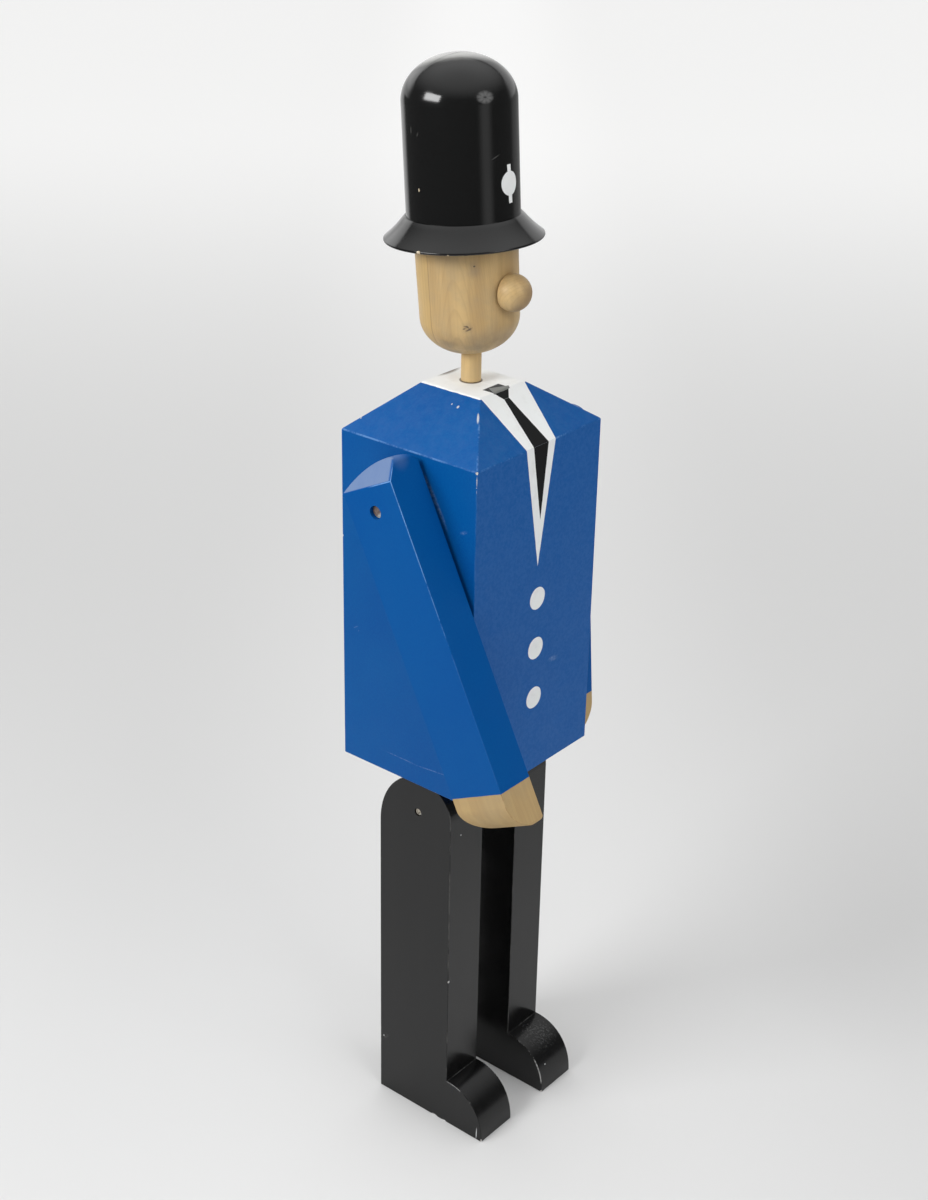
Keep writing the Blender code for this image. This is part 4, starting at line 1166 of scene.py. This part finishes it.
def make_helmet(materials):
    """The tall crown with its dome, and the brim that flares below it."""
    dome_start = BRIM_HEIGHT + CROWN_WALL_HEIGHT
    edge = BRIM_EDGE / 2
    profile = oval_arc((0.0, dome_start), (CROWN_RADIUS, DOME_HEIGHT), 90, 0, steps=DOME_STEPS)
    for step in range(1, CROWN_STEPS):
        profile.append((CROWN_RADIUS, dome_start - CROWN_WALL_HEIGHT * step / CROWN_STEPS))
    profile.append((CROWN_RADIUS, BRIM_HEIGHT))
    foot = BRIM_FOOT_ROUND
    profile += oval_arc((BRIM_FOOT_RADIUS - foot, BRIM_HEIGHT - foot), (foot, foot), 90, 30,
                        steps=BRIM_FOOT_STEPS)
    rim = oval_arc((BRIM_RADIUS - edge, edge), (edge, edge), BRIM_RIM_START, -90, steps=RIM_STEPS)
    for step in range(1, BRIM_STEPS):
        share = step / BRIM_STEPS
        radius = BRIM_FOOT_RADIUS + (rim[0][0] - BRIM_FOOT_RADIUS) * share
        straight = BRIM_HEIGHT + (rim[0][1] - BRIM_HEIGHT) * share
        profile.append((radius, straight - BRIM_SAG * math.sin(math.pi * share)))
    profile += rim
    profile.append((0.0, 0.0))
    helmet = piece("helmet_lacquered", lathe(profile), HELMET_PLACE, materials)
    for center, size in HELMET_CUTS:
        chip(helmet, HELMET_PLACE @ Vector(center), size)
    finish_piece(helmet, "helmet", smooth_below=HELMET_SHARP_ANGLE, tilted=True)


def make_dowel(node, direction, material, name):
    """A round bar in the place of its CAD node, with its ends eased a little."""
    middle, size = place_of(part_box(node))
    if direction == "X":
        radius, length, turn = size.z / 2, size.x, turned_by(0.0, 90.0)
    else:
        radius, length, turn = size.x / 2, size.z, Matrix.Identity(4)
    ease = DOWEL_EASE
    profile = [(0.0, length / 2), (radius - ease, length / 2), (radius, length / 2 - ease),
               (radius, ease - length / 2), (radius - ease, -length / 2), (0.0, -length / 2)]
    dowel = piece(name, lathe(profile, PIN_STEPS), Matrix.Translation(middle) @ turn, [material])
    finish_piece(dowel, node, smooth_below=TURNED_SHARP_ANGLE)


def make_hip_block(materials):
    middle, size = place_of(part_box("hip_block"))
    mesh = bmesh.new()
    bmesh.ops.create_cube(mesh, size=1.0)
    bmesh.ops.scale(mesh, vec=size, verts=mesh.verts)
    round_edges(mesh, width=LEG_EDGE_ROUND)
    bmesh.ops.transform(mesh, matrix=Matrix.Translation(middle), verts=mesh.verts)
    block = piece("hip_block_painted", mesh, Matrix.Identity(4), materials)
    for name, side in SIDES.items():
        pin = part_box(name + "_hip_pin")
        pin_hole(block, pin, side * inner_end(pin), side * (size.x / 2 + OVERRUN))
    finish_piece(block, "hip_block")


# Studio

def make_floor(name, size, center, height, forward, glossy):
    """A sheet of pale paper with its light painted on: a tone that changes a little from near to far, a
    painted pool of light along the middle, and a painted glow that makes it brighter towards the far end of
    the room.
    """
    mesh = bmesh.new()
    bmesh.ops.create_grid(mesh, x_segments=1, y_segments=1, size=0.5)
    bmesh.ops.scale(mesh, vec=(size[0], size[1], 1.0), verts=mesh.verts)
    nodes = Surface(name)
    place = nodes.add("ShaderNodeNewGeometry").outputs["Position"]
    ahead = nodes.vector("DOT_PRODUCT", place, (forward.x, forward.y, 0.0))
    across = nodes.absolute(nodes.vector("DOT_PRODUCT", place, (forward.y, -forward.x, 0.0)))
    # Painted light: a tone from far to near, and a pool of light along the middle
    painted_floor_light = nodes.ramp(ahead, 0.25, -0.35, FLOOR_FAR_TONE, FLOOR_NEAR_TONE)
    painted_floor_light = nodes.plus(painted_floor_light, nodes.ramp(across, 0.48, 0.05, 0.0, FLOOR_LIGHT_POOL))
    color = nodes.mix(painted_floor_light, BLACK, PAPER_WHITE)
    nodes.shader.inputs["Specular IOR Level"].default_value = 0.1
    # A painted glow, brighter towards the far end, that stands in for a lit backdrop
    nodes.shader.inputs["Emission Color"].default_value = (*PAPER_WHITE, 1.0)
    nodes.feed(nodes.shader.inputs["Emission Strength"], nodes.ramp(ahead, 0.5, 4.4, 0.0, BACKDROP_GLOW))
    material = nodes.surface(color, 0.75)
    turn = math.degrees(math.atan2(forward.y, forward.x)) - 90.0
    floor = piece(name, mesh, Matrix.Translation((*center, height)) @ turned_by(0, 0, turn), [material])
    floor.visible_glossy = glossy


def add_softbox(name, place, target, size, power, glossy=True):
    data = bpy.data.lights.new(name, "AREA")
    data.shape = "RECTANGLE"
    data.size, data.size_y = size
    data.energy = power
    light = bpy.data.objects.new(name, data)
    bpy.context.scene.collection.objects.link(light)
    light.location = place
    light.rotation_mode = "QUATERNION"
    light.rotation_quaternion = (target - place).to_track_quat("-Z", "Y")
    light.visible_camera = False
    light.visible_glossy = glossy


def add_umbrella(place, target, radius, strength):
    """A white umbrella that throws light back, with its ribs showing as darker lines."""
    mesh = bmesh.new()
    bmesh.ops.create_circle(mesh, cap_ends=True, segments=UMBRELLA_STEPS, radius=1.0)
    nodes = Surface("umbrella_cloth")
    x, y = nodes.split(nodes.place)[:2]
    turn = nodes.math("ARCTAN2", x, y)
    ribs = nodes.absolute(nodes.math("SINE", nodes.times(turn, UMBRELLA_RIBS / 2)))
    radius_share = nodes.vector("LENGTH", nodes.place)
    cloth = nodes.ramp(ribs, 0.10, 0.45, 0.25, 1.0)
    cloth = nodes.times(cloth, nodes.ramp(radius_share, 1.0, 0.55, 0.55, 1.0))
    cloth = nodes.times(cloth, nodes.ramp(radius_share, 0.12, 0.22, 0.2, 1.0))
    light = nodes.add("ShaderNodeEmission", {"Strength": nodes.times(cloth, strength)})
    output = nodes.tree.nodes["Material Output"]
    nodes.tree.links.new(light.outputs[0], output.inputs["Surface"])
    turn_to_target = (target - place).to_track_quat("Z", "Y").to_matrix().to_4x4()
    size = Matrix.Diagonal((radius, radius, radius, 1.0))
    umbrella = piece("umbrella", mesh, Matrix.Translation(place) @ turn_to_target @ size, [nodes.material])
    umbrella.visible_camera = False


def make_world(forward):
    """A pale backdrop behind the figure, a lit ceiling, and a dim room behind the camera."""
    world = bpy.data.worlds.new("studio")
    bpy.context.scene.world = world
    world.use_nodes = True
    nodes = Nodes(world.node_tree)
    background = world.node_tree.nodes["Background"]
    direction = nodes.add("ShaderNodeTexCoord").outputs["Generated"]
    up = nodes.split(direction)[2]
    ahead = nodes.vector("DOT_PRODUCT", direction, (forward.x, forward.y, 0.0))
    ratio = nodes.math("DIVIDE", up, nodes.math("MAXIMUM", ahead, 0.05))
    below = nodes.ramp(up, 0.0, -0.03)
    wide = nodes.times(nodes.ramp(ahead, 0.36, 0.66), nodes.rest(below))
    lateral = nodes.vector("DOT_PRODUCT", direction, (forward.y, -forward.x, 0.0))
    narrow = nodes.times(nodes.ramp(lateral, 0.34, 0.12, 0.25, 1.0), nodes.ramp(lateral, -0.75, -0.60))
    narrow = nodes.times(narrow, nodes.ramp(ahead, 0.40, 0.60))
    in_front = nodes.times_plus(narrow, below, wide)
    backdrop = nodes.times(in_front, nodes.ramp(ratio, BACKDROP_TOP + 0.05, BACKDROP_TOP - 0.05))
    rail = nodes.times(nodes.ramp(ratio, BACKDROP_TOP - 0.03, BACKDROP_TOP + 0.04),
                      nodes.ramp(ratio, BACKDROP_TOP + 0.15, BACKDROP_TOP + 0.09))
    rail = nodes.times(in_front, rail)
    ceiling = nodes.ramp(ahead, -0.8, 0.6, CEILING_NEAR, CEILING_FAR)
    high = nodes.ramp(up, 0.30, 0.98)
    light = nodes.times_plus(high, nodes.minus(ceiling, ROOM_DIM), ROOM_DIM)
    light = nodes.times(light, nodes.rest(nodes.times(rail, RAIL_SHADE)))
    lobe = nodes.times(nodes.ramp(lateral, -0.30, -0.52), nodes.ramp(up, 0.08, 0.22))
    lobe = nodes.times_plus(lobe, BACKDROP_LEFT - BACKDROP, BACKDROP)
    light = nodes.plus(nodes.times(light, nodes.rest(backdrop)), nodes.times(backdrop, lobe))
    strip = math.radians(STRIP_AZIMUTH)
    beside = nodes.vector("DOT_PRODUCT", direction, (math.cos(strip), -math.sin(strip), 0.0))
    towards = nodes.vector("DOT_PRODUCT", direction, (math.sin(strip), math.cos(strip), 0.0))
    ratio = nodes.math("DIVIDE", beside, nodes.math("MAXIMUM", towards, 0.05))
    band = nodes.times(nodes.ramp(nodes.absolute(ratio), 0.32, 0.04), nodes.ramp(towards, 0.2, 0.3))
    band = nodes.times(band, nodes.ramp(up, 0.15, 0.0))
    light = nodes.times_plus(band, STRIP_LIGHT, light)
    seen = nodes.add("ShaderNodeLightPath").outputs["Is Camera Ray"]
    light = nodes.plus(nodes.times(light, nodes.rest(seen)), nodes.times(seen, BACKGROUND_SEEN))
    nodes.tree.links.new(light, background.inputs["Strength"])
    background.inputs["Color"].default_value = (1.0, 1.0, 1.0, 1.0)


def make_camera():
    """Sets the camera and returns the level direction that it looks in."""
    angles = (CAMERA_AZIMUTH, CAMERA_ELEVATION, CAMERA_ROLL)
    azimuth, elevation, roll = [math.radians(angle) for angle in angles]
    forward = Vector((-math.sin(azimuth) * math.cos(elevation), math.cos(azimuth) * math.cos(elevation),
                      -math.sin(elevation)))
    level = Vector((math.cos(azimuth), math.sin(azimuth), 0.0))
    upright = level.cross(forward)
    right = level * math.cos(roll) + upright * math.sin(roll)
    up = upright * math.cos(roll) - level * math.sin(roll)
    data = bpy.data.cameras.new("camera")
    data.lens = CAMERA_LENS
    data.sensor_width = CAMERA_SENSOR
    data.clip_start = CAMERA_NEAR
    data.clip_end = CAMERA_FAR
    camera = bpy.data.objects.new("camera", data)
    bpy.context.scene.collection.objects.link(camera)
    turn = Matrix((right, up, -forward)).transposed().to_4x4()
    camera.matrix_world = Matrix.Translation(CAMERA_PLACE) @ turn
    bpy.context.scene.camera = camera
    return Vector((-math.sin(azimuth), math.cos(azimuth), 0.0))


def make_studio():
    forward = make_camera()
    aside = Vector((forward.y, -forward.x, 0.0))
    middle = forward * (PAPER_BACK - PAPER_FRONT) / 2 + aside * PAPER_ASIDE
    make_floor("paper", (PAPER_WIDTH, PAPER_FRONT + PAPER_BACK), middle.xy, 0.0, forward, True)
    make_floor("floor", (FLOOR_SIZE, FLOOR_SIZE), (0.0, 0.0), -FLOOR_DROP, forward, False)
    helmet_middle = Vector(HELMET_MIDDLE)
    softbox, fill, umbrella = [helmet_middle + distance * Vector(direction)
                               for distance, direction in (SOFTBOX_PLACE, FILL_PLACE, UMBRELLA_PLACE)]
    add_softbox("softbox", softbox, helmet_middle, SOFTBOX_SIZE, SOFTBOX_POWER)
    add_softbox("fill", fill, helmet_middle, FILL_SIZE, FILL_POWER, False)
    add_umbrella(umbrella, helmet_middle, UMBRELLA_RADIUS, UMBRELLA_STRENGTH)
    make_world(forward)
    bpy.context.scene.view_settings.view_transform = "Standard"


def make_figure():
    wood_chip = chip_material("chipped_wood", CREAM_CHIP)
    primer_chip = chip_material("chipped_primer", PRIMER)
    shoulder_pin = pin_material("shoulder_pin_wood", PIN_BROWN, 0.45)
    hip_pin = pin_material("hip_pin_wood", PIN_GRIME, 0.85)
    coat = [coat_material("coat", False), coat_material("coat_edges", True), primer_chip]
    trousers = [trouser_material("trousers", False), trouser_material("trouser_edges", True), primer_chip]
    lacquer = helmet_material("lacquer")
    make_torso(coat)
    make_hip_block(trousers)
    make_head(head_material("head_wood"))
    make_nose(plain_wood_material("nose_wood", NOSE_RINGS, NOSE_GRAIN_TURN, nose=True))
    grime_height = TORSO_TOP - place_of(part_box("neck_dowel"))[0].z
    neck_wood = plain_wood_material("neck_wood", NECK_RINGS, grime_height=grime_height)
    make_dowel("neck_dowel", "Z", neck_wood, "neck")
    make_helmet([lacquer, lacquer, wood_chip])
    for name, side in SIDES.items():
        sleeve = sleeve_material(name, name + "_sleeve", False, side)
        sleeve_edges = sleeve_material(name, name + "_sleeve_edges", True, side)
        make_arm(name, side, [sleeve, sleeve_edges, primer_chip])
        make_leg(name, side, trousers)
        make_dowel(name + "_shoulder_pin", "X", shoulder_pin, name + "_shoulder_dowel")
        make_dowel(name + "_hip_pin", "X", hip_pin, name + "_hip_dowel")


make_studio()
make_figure()
